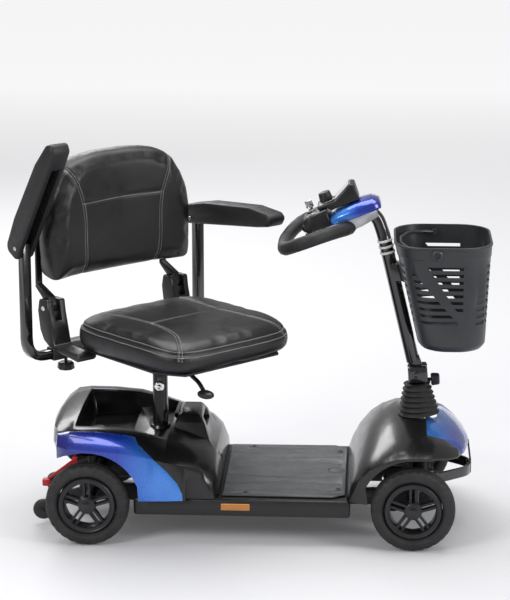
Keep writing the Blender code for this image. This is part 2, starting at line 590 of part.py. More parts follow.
# ---- seat post and seat ------------------------------------------------------------------
def seat_post():
    post = turned(BASE, [(0.0153, 0.0), (0.0260, 0.0), (0.0260, 0.006), (POST_R, 0.010),
                         (POST_R, 0.2380), (0.0153, 0.2380)], (POST_X, 0, DECK_Z + GAP), "Z", 20)
    hole = rod(BASE, (POST_X, -0.03, 0.3195), (POST_X, -0.0156, 0.3195), 0.0042, 16)
    finish(cut(post, hole), "seat_post", GLOSS)
    bolt = rod(BASE, (POST_X, -0.0225, 0.3195), (POST_X, -0.0160, 0.3195), 0.0039, 14)
    head = rod(BASE, (POST_X, -0.0262, 0.3195), (POST_X, -0.0190, 0.3195), 0.0120, 16, bevel=0.001)
    cut(head, rod(BASE, (POST_X, 0, 0.25), (POST_X, 0, 0.40), POST_R + GAP, 28))
    sock = rod(BASE, (POST_X, -0.03, 0.3195), (POST_X, -0.0240, 0.3195), 0.0045, 6)
    finish(cut(fuse(head, bolt), sock), "height_bolt", CHROME)


def seat():
    lift = frame("seat_height", BASE, (POST_X, 0, 0))
    stem = turned(lift, [(0.0, 0.230), (0.0150, 0.230), (0.0150, 0.3950), (0.0380, 0.3950), (0.0380, 0.4010),
                         (0.0120, 0.4010), (0.0120, 0.4090), (0.0, 0.4090)], (0, 0, 0), "Z", 20, closed=False)
    finish(stem, "seat_stem", STEEL)
    S = frame("seat_swivel", lift, (0, 0, 0), (0, 0, SWIVEL))

    # the pan under the cushion, with the sleeve for the arm bars across its rear
    pan = slab(S, [(-0.150, -0.150), (-0.130, -0.172), (0.200, -0.178), (0.262, -0.140), (0.262, 0.140),
                   (0.200, 0.178), (-0.130, 0.172), (-0.150, 0.150)], "Z", 0.4180, 0.4250, 0.002)
    hub = block(S, (-0.055, -0.055, 0.4013), (0.055, 0.055, 0.4200), 0.003)
    sleeve = block(S, (ARM_F - 0.0145, -0.195, 0.3800), (ARM_F + 0.0145, 0.195, 0.4095), 0.0015)
    bridge = block(S, (ARM_F - 0.0100, -0.150, 0.4060), (-0.110, 0.150, 0.4210), 0.002)
    ribs = [slab(S, [(-0.150, 0.408), (-0.060, 0.396), (0.020, 0.419), (-0.150, 0.421)],
                 "Y", *sorted((s * 0.100, s * 0.112))) for s in (-1, 1)]
    fuse(pan, hub, sleeve, bridge, *ribs)
    cut(pan, rod(S, (0, 0, 0.39), (0, 0, 0.4125), 0.0124, 24))
    for s in (-1, 1):
        cut(pan, block(S, (ARM_F - 0.0113, *sorted((s * 0.012, s * 0.25))[:1], 0.3837),
                       (ARM_F + 0.0113, *sorted((s * 0.012, s * 0.25))[1:], 0.4063)))
        # J-shaped side brackets that carry the backrest hinge
        out, inn = s * 0.2130, s * 0.1620
        jay = slab(S, [(-0.150, 0.4180), (-0.100, 0.4100), (-0.040, 0.4020), (-0.030, 0.4120),
                       (-0.040, 0.4210), (-0.128, 0.4245), (-0.1360, 0.4600), (-0.1460, 0.5000),
                       (-0.1500, 0.5280), (-0.1860, 0.5280), (-0.1920, 0.5000), (-0.1845, 0.4550),
                       (-0.1700, 0.4300)], "Y", *sorted((out, inn)), 0.003)
        cut(jay, block(S, (-0.25, *sorted((s * 0.1780, s * 0.1980))[:1], 0.4800),
                       (-0.10, *sorted((s * 0.1780, s * 0.1980))[1:], 0.60)))
        pin = rod(S, (HINGE_F, s * 0.1700, HINGE_Z - 0.012), (HINGE_F, s * 0.2060, HINGE_Z - 0.012), 0.0050, 14)
        foot = block(S, (-0.128, *sorted((s * 0.140, s * 0.1900))[:1], 0.4120),
                     (-0.050, *sorted((s * 0.140, s * 0.1900))[1:], 0.4215), 0.002)
        fuse(pan, fuse(jay, pin), foot)
        cut(pan, rod(S, (ARM_F, s * 0.150, 0.370), (ARM_F, s * 0.150, 0.3840), 0.0044, 12))
    finish(pan, "seat_pan", BLACK)

    rear = rounded([(-0.050, 0.1975, 0), (-0.118, 0.196, 0), (-0.118, -0.196, 0), (0.292, -0.205, 0),
                    (0.292, 0.205, 0), (-0.050, 0.1975, 0)], 0.075, 5)[:-1]
    loops = []
    for grow, lift_z, dip in ((-0.012, 0.4265, 0.0), (0.0, 0.4330, 0.0), (0.004, 0.4600, 0.0),
                              (0.0, 0.4840, 0.012), (-0.016, 0.4950, 0.018), (-0.060, 0.5000, 0.012)):
        loops.append([(0.087 + (p.x - 0.087) * (1 + grow / 0.20), p.y * (1 + grow / 0.20),
                       lift_z - dip * max(0.0, (p.x - 0.150) / 0.15) ** 2) for p in rear])
    finish(loft(S, loops), "seat_cushion", HIDE, 60)

    swivel_handle(S)
    backrest(S)
    for side, s in SIDES:
        arm(S, side, s)


def swivel_handle(S):
    """The handle that frees the swivel."""
    where = frame("swivel_lever_pivot", S, (0.130, -0.060, 0.4080))
    bar = pipe(where, rounded([(0, 0, 0.0), (0.060, -0.015, -0.004), (0.118, -0.030, -0.014),
                               (0.140, -0.036, -0.026)], 0.02, 3), 0.0050, 8)
    eye = rod(where, (0, 0, -0.006), (0, 0, 0.0060), 0.0110, 18)
    paddle = ball(where, (0.152, -0.039, -0.033), 0.0230, (1.0, 0.72, 0.42))
    finish(fuse(bar, eye, paddle), "swivel_lever", BLACK)


def backrest(S):
    B = frame("backrest_hinge", S, (HINGE_F, 0, HINGE_Z - 0.012))
    plate = slab(B, [(-0.170, 0.115), (-0.150, 0.088), (0.150, 0.088), (0.170, 0.115), (0.150, 0.290),
                     (0.105, 0.325), (-0.105, 0.325), (-0.150, 0.290)], "X", -0.0520, -0.0460, 0.0015)
    ears = []
    for s in (-1, 1):
        lo, hi = sorted((s * 0.1784, s * 0.1976))
        ears.append(slab(B, [(-0.0100, -0.010), (0.0100, -0.010), (0.0120, 0.008), (0.0020, 0.026),
                             (-0.0464, 0.0480), (-0.0464, 0.180), (-0.0520, 0.180), (-0.0520, 0.040),
                             (-0.0250, 0.018), (-0.0120, 0.006)], "Y", lo, hi, 0.002))
        lo, hi = sorted((s * 0.140, s * 0.1960))
        ears.append(block(B, (-0.0505, lo, 0.1000), (-0.0475, hi, 0.1700)))
    fuse(plate, *ears)
    for s in (-1, 1):
        cut(plate, rod(B, (0, s * 0.170, 0), (0, s * 0.206, 0), 0.0053, 16))
    finish(plate, "backrest_frame", BLACK)

    # the cushion: a curved pad with a round top, thicker at its sides
    outline = [(0.205, 0.066), (0.2110, 0.078), (0.2140, 0.130), (0.2130, 0.200), (0.2010, 0.262),
               (0.1720, 0.320), (0.1280, 0.350), (0.0650, 0.3620), (0.0, 0.3635)]
    ring = outline + [(-w, z) for w, z in reversed(outline[:-1])]
    ring = ring + [(-0.1000, 0.0570), (0.0, 0.0555), (0.1000, 0.0570)]
    loops = []
    for scale, depth in ((0.90, -0.0440), (0.985, -0.0380), (1.0, -0.0200), (1.0, -0.0020),
                         (0.965, 0.0140), (0.86, 0.0210)):
        loop = []
        for w, z in ring:
            wrap = 0.034 * (abs(w) / 0.21) ** 2 * min(1.0, max(0.0, (depth + 0.044) / 0.02))
            loop.append((depth + wrap, w * scale, 0.215 + (z - 0.215) * scale))
        loops.append(loop)
    finish(loft(B, loops), "backrest_cushion", HIDE, 60)


def arm(S, side, s):
    """Arm bar that slides in the sleeve, its clamp knob, and the flip-up pad."""
    reach = frame(f"arm_width_{side}", S, (ARM_F, s * ARM_L, 0.395))
    path = rounded([(0, -s * (ARM_L - 0.045), 0), (0, 0, 0), (0, 0, ARM_Z - 0.395 + 0.0095)], 0.050, 6)
    bar = pipe(reach, path, 0.0150, square=True)
    pin = rod(reach, (0, -0.0225, ARM_Z - 0.395), (0, 0.0225, ARM_Z - 0.395), 0.0045, 14)
    finish(fuse(bar, pin), f"arm_bar_{side}", GLOSS)

    knob = frame(f"arm_knob_axis_{side}", S, (ARM_F, s * 0.150, 0.3600))
    screw = rod(knob, (0, 0, 0.0), (0, 0, 0.0233), 0.0040, 12)
    grip = rod(knob, (0, 0, -0.0100), (0, 0, 0.0080), 0.0215, 8, 0.0190, 0.003)
    finish(fuse(grip, screw), f"arm_knob_{side}", BLACK)

    tilt = -ARM_UP if s < 0 else -ARM_REST
    flip = frame(f"arm_flip_{side}", reach, (0, 0, ARM_Z - 0.395), (0, tilt, 0))
    side_view = [(-0.026, -0.014), (-0.026, 0.022), (-0.014, 0.034), (0.060, 0.040), (0.220, 0.034),
                 (0.285, 0.020), (0.297, 0.006), (0.285, -0.012), (0.240, -0.014)]
    pad = slab(flip, side_view, "Y", -0.0265, 0.0265, 0.007, 2)
    slot = block(flip, (-0.05, -0.0118, -0.03), (0.235, 0.0118, 0.0160))
    bore = rod(flip, (0, -0.024, 0), (0, 0.024, 0), 0.0048, 16)
    finish(cut(pad, slot, bore), f"arm_pad_{side}", BLACK)


# ---- tiller, controls and basket ---------------------------------------------------------
def tiller():
    steer = frame("steering_axis", BASE, (HEAD_X, 0, HEAD_Z), (0, -math.degrees(RAKE), 0))
    stem = rod(steer, (0, 0, -0.1950), (0, 0, 0.0420), 0.0152, 16)
    fork = block(steer, (-0.0200, -0.0245, 0.0380), (0.0260, 0.0245, 0.0780), 0.005, 2)
    slot = block(steer, (-0.05, -0.0125, 0.0445), (0.05, 0.0125, 0.12))
    hinge = (TILLER_X - HEAD_X, 0, TILLER_Z - HEAD_Z)
    at = Matrix.Rotation(RAKE, 3, "Y") @ Vector(hinge)
    bolts = [rod(steer, (at.x, -0.0275, at.z), (at.x, 0.0275, at.z), 0.0050, 14)]
    for s in (-1, 1):
        bolts.append(rod(steer, (at.x, s * 0.0235, at.z), (at.x, s * 0.0285, at.z), 0.0080, 6))
    fuse(stem, fork)
    cut(stem, slot)
    arm_out = slab(steer, [(0.004, -0.014), (0.004, 0.014), (-0.052, 0.006), (-0.052, -0.006)],
                   "Z", -0.1950, -0.1900)
    fuse(stem, *bolts, arm_out)
    cut(stem, rod(steer, (0.018, 0, 0.0400), (0.0270, 0, 0.0400), 0.0046, 12))
    finish(stem, "steering_stem", GLOSS)

    T = frame("tiller_hinge", steer, (at.x, 0, at.z), (0, math.degrees(RAKE), 0))
    d = Vector((0.669 - 0.7425, 0, 0.691 - 0.385))
    d.normalize()
    foot, up = TUBE[0], TUBE[1]
    tube = pipe(T, rounded(TUBE, 0.02, 3), 0.0158, 12)
    lug = slab(T, [(-0.0130, -0.0100), (0.0130, -0.0100), (0.0150, 0.0200), (0.0060, 0.0420),
                   (-0.0200, 0.0420), (-0.0150, 0.0100)], "Y", -0.0120, 0.0120, 0.002)
    cut(lug, rod(T, (0, -0.03, 0), (0, 0.03, 0), 0.0053, 18))
    rings = []
    for k in (-0.014, 0.0, 0.014):
        c = foot + (up - foot) * 0.90 + d * k
        rings.append(rod(T, c - d * 0.0025, c + d * 0.0025, 0.0172, 12))
    horn = slab(T, [(-0.0560, 0.2220), (-0.0343, 0.2220), (-0.0440, 0.2620), (-0.0660, 0.2620)], "Y", -0.0220, 0.0220)
    finish(fuse(tube, lug, horn, *rings), "tiller_tube", GLOSS)

    K = frame("tiller_knob_axis", steer, (0.0275, 0, 0.0400))
    shank = rod(K, (-0.0060, 0, 0), (0.0080, 0, 0), 0.0042, 12)
    grip = rod(K, (0.0055, 0, 0), (0.0260, 0, 0), 0.0160, 8, 0.0140, 0.003)
    finish(fuse(grip, shank), "tiller_lock_knob", BLACK)
    controls(T)
    basket(T)


def controls(T):
    H = frame("control_head", T, (0.627 - TILLER_X, 0, 0.750 - TILLER_Z), (0, -HEAD_TILT, 0))
    # lower tray clamped round the tube's top end
    tray = loft(H, [[(u, -v, w0), (u, v, w0), (u, v * 1.12, w1), (u, -v * 1.12, w1)]
                    for u, v, w0, w1 in ((-0.128, 0.030, -0.012, -0.0053), (-0.085, 0.042, -0.030, -0.0053),
                                         (-0.020, 0.040, -0.032, -0.0053), (0.024, 0.030, -0.024, -0.0053))])
    soften(tray, 0.002)
    # the hand loop runs through it and the tube ends in it
    half = [(-0.045, 0.036, -0.0270), (-0.070, 0.086, -0.0150), (-0.108, 0.128, -0.0060),
            (-0.148, 0.141, -0.0040), (-0.182, 0.108, -0.0100), (-0.2040, 0.060, -0.0185)]
    loop = half + [(u, -v, w) for u, v, w in reversed(half)]
    ring = rounded([loop[-1]] + loop + [loop[0]], 0.035, 2)[1:-1]
    finish(pipe(H, ring, 0.0160, 10, ring=True), "hand_loop", RUBBER)
    back = Matrix.Rotation(math.radians(HEAD_TILT), 3, "Y")
    line = [back @ (p - Vector((0.627 - TILLER_X, 0, 0.750 - TILLER_Z))) for p in TUBE]
    line[-1] += (line[-1] - line[-2]).normalized() * 0.0006
    finish(cut(tray, pipe(H, ring, 0.0171, 10, ring=True), pipe(H, rounded(line, 0.02, 3), 0.0165, 12)),
           "head_tray", SILVER)

    cowl_rings = []
    for u, v, top, low in ((-0.082, 0.046, 0.0120, -0.0050), (-0.060, 0.052, 0.0215, -0.0050),
                           (-0.014, 0.055, 0.0270, -0.0050), (0.022, 0.050, 0.0240, -0.0050),
                           (0.038, 0.040, 0.0120, -0.0050)):
        cowl_rings.append([(u, -v, low), (u, -v, top * 0.45), (u, -v * 0.78, top * 0.9), (u, 0, top),
                           (u, v * 0.78, top * 0.9), (u, v, top * 0.45), (u, v, low)])
    cowl = soften(loft(H, cowl_rings), 0.0015)
    pod = loft(H, [[(u, -v, w0), (u, v, w0), (u, v * 0.92, w1), (u, -v * 0.92, w1)]
                   for u, v, w0, w1 in ((-0.145, 0.040, -0.0050, 0.0220), (-0.130, 0.050, -0.0050, 0.0300),
                                        (-0.0823, 0.048, -0.0050, 0.0350))])
    soften(pod, 0.003)
    finish(pod, "control_pod", BLACK)
    finish(cowl, "head_cowl", BLUE)

    screen = loft(H, [[(u, -v, w0), (u, v, w0), (u, v, w1), (u, -v, w1)]
                      for u, v, w0, w1 in ((-0.1020, 0.034, 0.0355, 0.0430), (-0.0960, 0.036, 0.0355, 0.0450),
                                           (-0.0810, 0.036, 0.0355, 0.0450), (-0.0720, 0.036, 0.0260, 0.0450),
                                           (-0.0580, 0.036, 0.0275, 0.0450), (-0.0300, 0.035, 0.0275, 0.0600),
                                           (-0.0140, 0.033, 0.0275, 0.0700), (-0.0040, 0.032, 0.0275, 0.0660))])
    finish(soften(screen, 0.002), "display_hood", BLACK)

    dial = frame("speed_dial_axis", H, (-0.0780, 0.0, 0.0455))
    knob = rod(dial, (0, 0, 0.0), (0, 0, 0.0220), 0.0165, 14, 0.0135, 0.002)
    finish(knob, "speed_dial", BLACK)
    key_at = frame("key_axis", H, (-0.1220, 0.0280, 0.0325))
    blade = rod(key_at, (0, 0, 0), (0, 0, 0.0060), 0.0060, 14)
    bow = block(key_at, (-0.0090, -0.0013, 0.0050), (0.0090, 0.0013, 0.0220), 0.0008)
    finish(fuse(blade, bow), "key", SILVER)
    horn = frame("horn_axis", H, (-0.1220, -0.0280, 0.0340))
    finish(rod(horn, (0, 0, 0), (0, 0, 0.0060), 0.0070, 18, bevel=0.001), "horn_button", BLACK)
    for side, s in SIDES:
        where = frame(f"throttle_{side}_axis", H, (-0.1400, s * 0.0300, -0.0150))
        pivot = rod(where, (0, 0, -0.0080), (0, 0, 0.0090), 0.0080, 16)
        lever = pipe(where, rounded([(0, 0, -0.003), (-0.008, s * 0.024, -0.003), (-0.012, s * 0.046, -0.001)],
                                    0.01, 3), 0.0042, 10)
        tip = ball(where, (-0.0130, s * 0.053, -0.0010), 0.0105)
        finish(fuse(pivot, lever, tip), f"throttle_lever_{side}", BLACK)


def basket(T):
    """Open-topped plastic basket with rows of slots, hooked on the tiller."""
    Q = frame("basket_hook", T, (-TILLER_X, 0, -TILLER_Z))

    def outline(x0, x1, w, r, z):
        flat = rounded([(x0, 0.0, z), (x0, -w, z), (x1, -w, z), (x1, w, z), (x0, w, z), (x0, 0.0, z)], r, 3)
        return [(p.x, p.y, z) for p in flat[:-1]]

    levels = ((0.7650, 0.890, 0.1100, 0.045, 0.4380), (0.7513, 0.906, 0.1235, 0.055, 0.4560),
              (0.7140, 0.911, 0.1300, 0.066, 0.6100), (0.6954, 0.917, 0.1355, 0.075, 0.6865))
    t = 0.0028
    outer = loft(Q, [outline(*level) for level in levels])
    inner = loft(Q, [outline(x0 + t, x1 - t, w - t, r - t * 0.5, z + (0.003 if n == 0 else 0.0))
                     for n, (x0, x1, w, r, z) in enumerate(levels[:-1])] +
                 [outline(0.6954 + t, 0.917 - t, 0.1355 - t, 0.0735, 0.6920)])
    cut(outer, inner)
    band = [outline(0.6930, 0.9195, 0.1380, 0.0770, z) for z in (0.6800, 0.6865)]
    rim = cut(loft(Q, band), loft(Q, [outline(0.6970 + t, 0.917 - t, 0.1355 - t, 0.0735, z)
                                      for z in (0.670, 0.6920)]))
    fuse(outer, rim)
    for i in range(5):
        z = 0.4900 + i * 0.0330
        split = 0.868 - i * 0.0230
        for x0, x1 in ((0.766 - i * 0.0080, split - 0.026), (split + 0.018, 0.872)):
            if x1 - x0 > 0.014:
                cut(outer, block(Q, (x0, -0.2, z), (x1, 0.2, z + 0.0150)))
        cut(outer, block(Q, (0.87, -0.090, z), (0.97, -0.014, z + 0.0150)))
        cut(outer, block(Q, (0.87, 0.014, z), (0.97, 0.090, z + 0.0150)))
    for s in (-1, 1):
        lo, hi = sorted((s * 0.1310, s * 0.1415))
        fuse(outer, rod(Q, (BAIL_X, lo, BAIL_Z), (BAIL_X, hi, BAIL_Z), 0.0125, 12))
        fuse(outer, rod(Q, (BAIL_X, s * 0.1225, BAIL_Z), (BAIL_X, s * 0.1335, BAIL_Z), 0.0042, 12))
    hook = slab(Q, [(0.7161, 0.5820), (0.7229, 0.5820), (0.7132, 0.6220), (0.7064, 0.6220)], "Y", -0.0300, 0.0300)
    fuse(outer, hook)
    finish(outer, "basket", GREY)

    bail_at = frame("basket_bail_axis", Q, (BAIL_X, 0, BAIL_Z))
    path = rounded([(0.0, -0.1250, 0.0), (-0.045, -0.1155, 0.0040), (-0.0800, -0.055, 0.0060),
                    (-0.0830, 0.0, 0.0060), (-0.0800, 0.055, 0.0060), (-0.045, 0.1155, 0.0040),
                    (0.0, 0.1250, 0.0)], 0.03, 1)
    bail = pipe(bail_at, path, 0.0038, 6)
    eyes = [rod(bail_at, (0, s * 0.1220, 0), (0, s * 0.1280, 0), 0.0078, 14) for s in (-1, 1)]
    holes = [rod(bail_at, (0, s * 0.1185, 0), (0, s * 0.1355, 0), 0.0046, 14) for s in (-1, 1)]
    finish(cut(fuse(bail, *eyes), *holes), "basket_handle", GREY)


# ---- small fixed pieces ------------------------------------------------------------------
def small_pieces():
    for side, s in SIDES:
        lo, hi = sorted((s * 0.2123, s * 0.2150))
        lens = block(BASE, (0.306, lo, 0.0830), (0.372, hi, 0.0990), 0.0008)
        finish(lens, f"side_reflector_{side}", AMBER)


chassis()
rear_body()
front_body()
running_gear()
seat_post()
seat()
tiller()
small_pieces()
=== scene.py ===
"""Looks of the four-wheel mobility scooter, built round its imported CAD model.

Metres, +Z up, +X the way the scooter drives. Lengths along X are counted from the rear axle.
"""

import json
import math

import bmesh
import bpy
from mathutils import Matrix, Vector
from mathutils.bvhtree import BVHTree
from mathutils.kdtree import KDTree


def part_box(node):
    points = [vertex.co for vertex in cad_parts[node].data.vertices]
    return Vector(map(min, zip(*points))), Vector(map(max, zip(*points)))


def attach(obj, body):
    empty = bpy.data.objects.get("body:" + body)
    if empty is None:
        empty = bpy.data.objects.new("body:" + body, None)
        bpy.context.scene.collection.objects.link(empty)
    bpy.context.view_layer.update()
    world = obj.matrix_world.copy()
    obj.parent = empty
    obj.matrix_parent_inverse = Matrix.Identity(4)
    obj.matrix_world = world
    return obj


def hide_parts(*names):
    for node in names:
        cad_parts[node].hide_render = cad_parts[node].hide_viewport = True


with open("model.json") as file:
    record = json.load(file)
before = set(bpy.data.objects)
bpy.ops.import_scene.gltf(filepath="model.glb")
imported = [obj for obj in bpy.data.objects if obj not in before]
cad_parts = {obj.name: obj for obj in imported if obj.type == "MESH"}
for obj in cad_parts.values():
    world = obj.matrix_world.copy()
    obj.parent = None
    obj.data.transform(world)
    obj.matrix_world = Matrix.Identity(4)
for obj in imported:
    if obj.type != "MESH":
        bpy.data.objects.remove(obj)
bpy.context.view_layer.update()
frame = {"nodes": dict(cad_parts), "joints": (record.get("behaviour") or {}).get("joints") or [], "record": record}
SCENE = bpy.context.scene
JOINTS = {joint["name"]: joint for joint in frame["joints"]}


def joint_at(name):
    return Vector(JOINTS[name]["pos_m"])


def joint_axis(name):
    return Vector(JOINTS[name]["axis"]).normalized()


# ---- places ------------------------------------------------------------------------------
AXLE_X = joint_at("rear_wheel_right_roll").x
WHEEL_R = joint_at("rear_wheel_right_roll").z
TYRE_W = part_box("tyre_rear_left")[1].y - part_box("tyre_rear_left")[0].y
MAT_TOP = frame["record"]["mounts"][0]["pos_m"][2]
WELD = 0.00001
UP = Vector((0, 0, 1))
ACROSS = Vector((0, 1, 0))


def axes(x, y, z, origin):
    """The place with these axes and this origin."""
    return Matrix.Translation(origin) @ Matrix((x, y, z)).transposed().to_4x4()


def facing(origin, way):
    """The place whose +Z points the given way."""
    return Matrix.Translation(origin) @ way.to_track_quat("Z", "Y").to_matrix().to_4x4()


BASE = Matrix.Translation((AXLE_X, 0, 0))
SEAT_L = joint_axis("backrest_fold")
SEAT_F = SEAT_L.cross(UP)
POST = joint_at("seat_swivel")
SEAT = axes(SEAT_F, SEAT_L, UP, Vector((POST.x, POST.y, 0)))
BACK = axes(SEAT_F, SEAT_L, UP, joint_at("backrest_fold"))
HEAD_UP = joint_axis("speed_dial_turn")
HEAD_FWD = ACROSS.cross(HEAD_UP)
DIAL_BACK, DIAL_HIGH = 0.078, 0.0455
HEAD = axes(HEAD_FWD, ACROSS, HEAD_UP,
            joint_at("speed_dial_turn") + HEAD_FWD * DIAL_BACK - HEAD_UP * DIAL_HIGH)
TILLER = Matrix.Translation(joint_at("tiller_tilt"))
SIDES = (("right", -1), ("left", 1))


# ---- materials ---------------------------------------------------------------------------
class Nodes:
    """Short hand for building a node tree."""

    def __init__(self, name):
        self.material = bpy.data.materials.new(name)
        self.material.use_nodes = True
        self.tree = self.material.node_tree
        self.shader = self.tree.nodes["Principled BSDF"]
        self.place = self.add("ShaderNodeTexCoord").outputs["Object"]

    def add(self, kind, **values):
        node = self.tree.nodes.new(kind)
        for key, value in values.items():
            if key in node.inputs:
                node.inputs[key].default_value = value
            else:
                setattr(node, key, value)
        return node

    def link(self, out, into):
        self.tree.links.new(out, into)

    def noise(self, scale, detail=3.0, rough=0.5):
        node = self.add("ShaderNodeTexNoise", Scale=scale, Detail=detail, Roughness=rough)
        self.link(self.place, node.inputs["Vector"])
        return node.outputs["Fac"]

    def cells(self, scale, feature="F1", randomness=1.0):
        node = self.add("ShaderNodeTexVoronoi", Scale=scale, Randomness=randomness)
        node.feature = feature
        self.link(self.place, node.inputs["Vector"])
        return node.outputs["Distance"]

    def ramp(self, value, stops):
        node = self.add("ShaderNodeValToRGB")
        node.color_ramp.elements[0].position, node.color_ramp.elements[0].color = stops[0]
        node.color_ramp.elements[1].position, node.color_ramp.elements[1].color = stops[-1]
        for at, colour in stops[1:-1]:
            node.color_ramp.elements.new(at).color = colour
        self.link(value, node.inputs["Fac"])
        return node.outputs["Color"]

    def span(self, value, low, high, start=0.3, end=0.7):
        node = self.add("ShaderNodeMapRange")
        for key, number in (("From Min", start), ("From Max", end), ("To Min", low), ("To Max", high)):
            node.inputs[key].default_value = number
        self.link(value, node.inputs["Value"])
        return node.outputs["Result"]

    def sum(self, one, two, factor=1.0):
        node = self.add("ShaderNodeMath", operation="MULTIPLY_ADD")
        self.link(two, node.inputs[0])
        node.inputs[1].default_value = factor
        self.link(one, node.inputs[2])
        return node.outputs[0]

    def bump(self, height, strength, distance):
        node = self.add("ShaderNodeBump", Strength=strength, Distance=distance)
        self.link(height, node.inputs["Height"])
        self.link(node.outputs["Normal"], self.shader.inputs["Normal"])


def shade(colour, factor):
    return (*[min(1.0, c * factor) for c in colour[:3]], 1.0)


def surface(name, colour, rough, metal=0.0, coat=0.0, mottle=14.0, vary=0.25, spread=0.06, grain=900.0,
            strength=0.15, depth=0.0002, edge_highlight=0.6):
    """A moulded or painted surface: colour that drifts, convex edges painted paler as a painted highlight, fine relief.
    """
    n = Nodes(name)
    drift = n.noise(mottle, 4.0)
    tone = n.ramp(drift, ((0.30, shade(colour, 1 - vary)), (0.70, shade(colour, 1 + vary))))
    # painted highlight: sharp convex edges are mixed towards a paler colour, where edges would catch the light
    if edge_highlight:
        edge = n.add("ShaderNodeNewGeometry").outputs["Pointiness"]
        mix = n.add("ShaderNodeMix", data_type="RGBA")
        n.link(n.span(edge, 0.0, edge_highlight, 0.52, 0.62), mix.inputs["Factor"])
        n.link(tone, mix.inputs["A"])
        mix.inputs["B"].default_value = [min(1.0, c * 1.7 + 0.012) for c in colour[:3]] + [1.0]
        tone = mix.outputs["Result"]
    n.link(tone, n.shader.inputs["Base Color"])
    n.link(n.span(n.noise(mottle * 4, 3.0), rough - spread, rough + spread), n.shader.inputs["Roughness"])
    n.shader.inputs["Metallic"].default_value = metal
    n.shader.inputs["Coat Weight"].default_value = coat
    n.shader.inputs["Coat Roughness"].default_value = 0.06
    n.bump(n.noise(grain, 2.0, 0.6), strength, depth)
    return n.material


def leather():
    n = Nodes("leatherette")
    tone = n.ramp(n.noise(9.0, 5.0), ((0.3, (0.0040, 0.0042, 0.0048, 1)), (0.7, (0.0085, 0.0088, 0.0098, 1))))
    n.link(tone, n.shader.inputs["Base Color"])
    n.link(n.span(n.noise(35.0, 4.0), 0.30, 0.44), n.shader.inputs["Roughness"])
    n.shader.inputs["Specular IOR Level"].default_value = 0.5
    pores = n.cells(620.0, "DISTANCE_TO_EDGE")
    folds = n.noise(90.0, 4.0, 0.65)
    n.bump(n.sum(n.span(pores, 0.0, 1.0, 0.0, 0.20), folds, 1.3), 0.16, 0.0006)
    return n.material


def thread():
    n = Nodes("thread")
    tone = n.ramp(n.noise(400.0, 2.0), ((0.3, (0.34, 0.33, 0.30, 1)), (0.7, (0.56, 0.55, 0.51, 1))))
    n.link(tone, n.shader.inputs["Base Color"])
    n.shader.inputs["Roughness"].default_value = 0.7
    n.bump(n.noise(2500.0, 2.0), 0.4, 0.0002)
    return n.material


def blue_lacquer_with_painted_light(name, shaded_x, lit_x):
    """Metallic lacquer under a clear coat, with painted light: the blue is painted from shaded deep blue to lit pale
    blue along the machine.
    """
    n = Nodes(name)
    split = n.add("ShaderNodeSeparateXYZ")
    n.link(n.place, split.inputs["Vector"])
    # painted light: the colour runs from shaded deep blue at one X to lit pale blue at the other
    run = n.span(split.outputs["X"], 0.0, 1.0, shaded_x, lit_x)
    tone = n.ramp(n.sum(run, n.noise(9.0, 3.0), 0.25),
                  ((0.10, (0.006, 0.010, 0.190, 1)), (0.60, (0.008, 0.045, 0.420, 1)), (1.0, (0.045, 0.220, 0.720, 1))))
    n.link(tone, n.shader.inputs["Base Color"])
    n.link(n.span(n.noise(120.0, 2.0), 0.26, 0.32), n.shader.inputs["Roughness"])
    n.shader.inputs["Metallic"].default_value = 0.45
    n.shader.inputs["Coat Weight"].default_value = 0.9
    n.shader.inputs["Coat Roughness"].default_value = 0.05
    n.bump(n.cells(1500.0), 0.03, 0.0001)
    return n.material


def tyre_rubber():
    n = Nodes("tyre_rubber")
    tone = n.ramp(n.noise(40.0, 5.0), ((0.3, (0.010, 0.010, 0.011, 1)), (0.75, (0.022, 0.022, 0.023, 1))))
    n.link(tone, n.shader.inputs["Base Color"])
    n.link(n.span(n.noise(90.0, 3.0), 0.62, 0.80), n.shader.inputs["Roughness"])
    n.bump(n.noise(1100.0, 3.0, 0.7), 0.35, 0.0003)
    return n.material


def mat_rubber():
    """Grey deck mat with fine moulded pimples, painted near black below its top face as painted shade in its grooves.
    """
    n = Nodes("mat_rubber")
    tone = n.ramp(n.noise(22.0, 5.0), ((0.3, (0.070, 0.073, 0.078, 1)), (0.7, (0.098, 0.102, 0.107, 1))))
    split = n.add("ShaderNodeSeparateXYZ")
    n.link(n.place, split.inputs["Vector"])
    # painted shade: below the mat's top face, in the grooves, the colour goes near black
    mix = n.add("ShaderNodeMix", data_type="RGBA")
    n.link(n.span(split.outputs["Z"], 0.0, 1.0, MAT_TOP - 0.0012, MAT_TOP - 0.0004), mix.inputs["Factor"])
    mix.inputs["A"].default_value = (0.004, 0.004, 0.004, 1)
    n.link(tone, mix.inputs["B"])
    n.link(mix.outputs["Result"], n.shader.inputs["Base Color"])
    n.link(n.span(n.noise(60.0, 3.0), 0.42, 0.58), n.shader.inputs["Roughness"])
    n.bump(n.cells(420.0, "F1", 0.25), 0.30, 0.0006)
    return n.material


def reflector():
    n = Nodes("amber_reflector")
    tone = n.ramp(n.cells(700.0, "DISTANCE_TO_EDGE", 0.0),
                  ((0.0, (0.45, 0.16, 0.01, 1)), (0.25, (0.90, 0.42, 0.03, 1))))
    n.link(tone, n.shader.inputs["Base Color"])
    n.shader.inputs["Roughness"].default_value = 0.15
    n.shader.inputs["Coat Weight"].default_value = 1.0
    n.bump(n.cells(700.0, "F1", 0.0), 0.5, 0.0006)
    return n.material


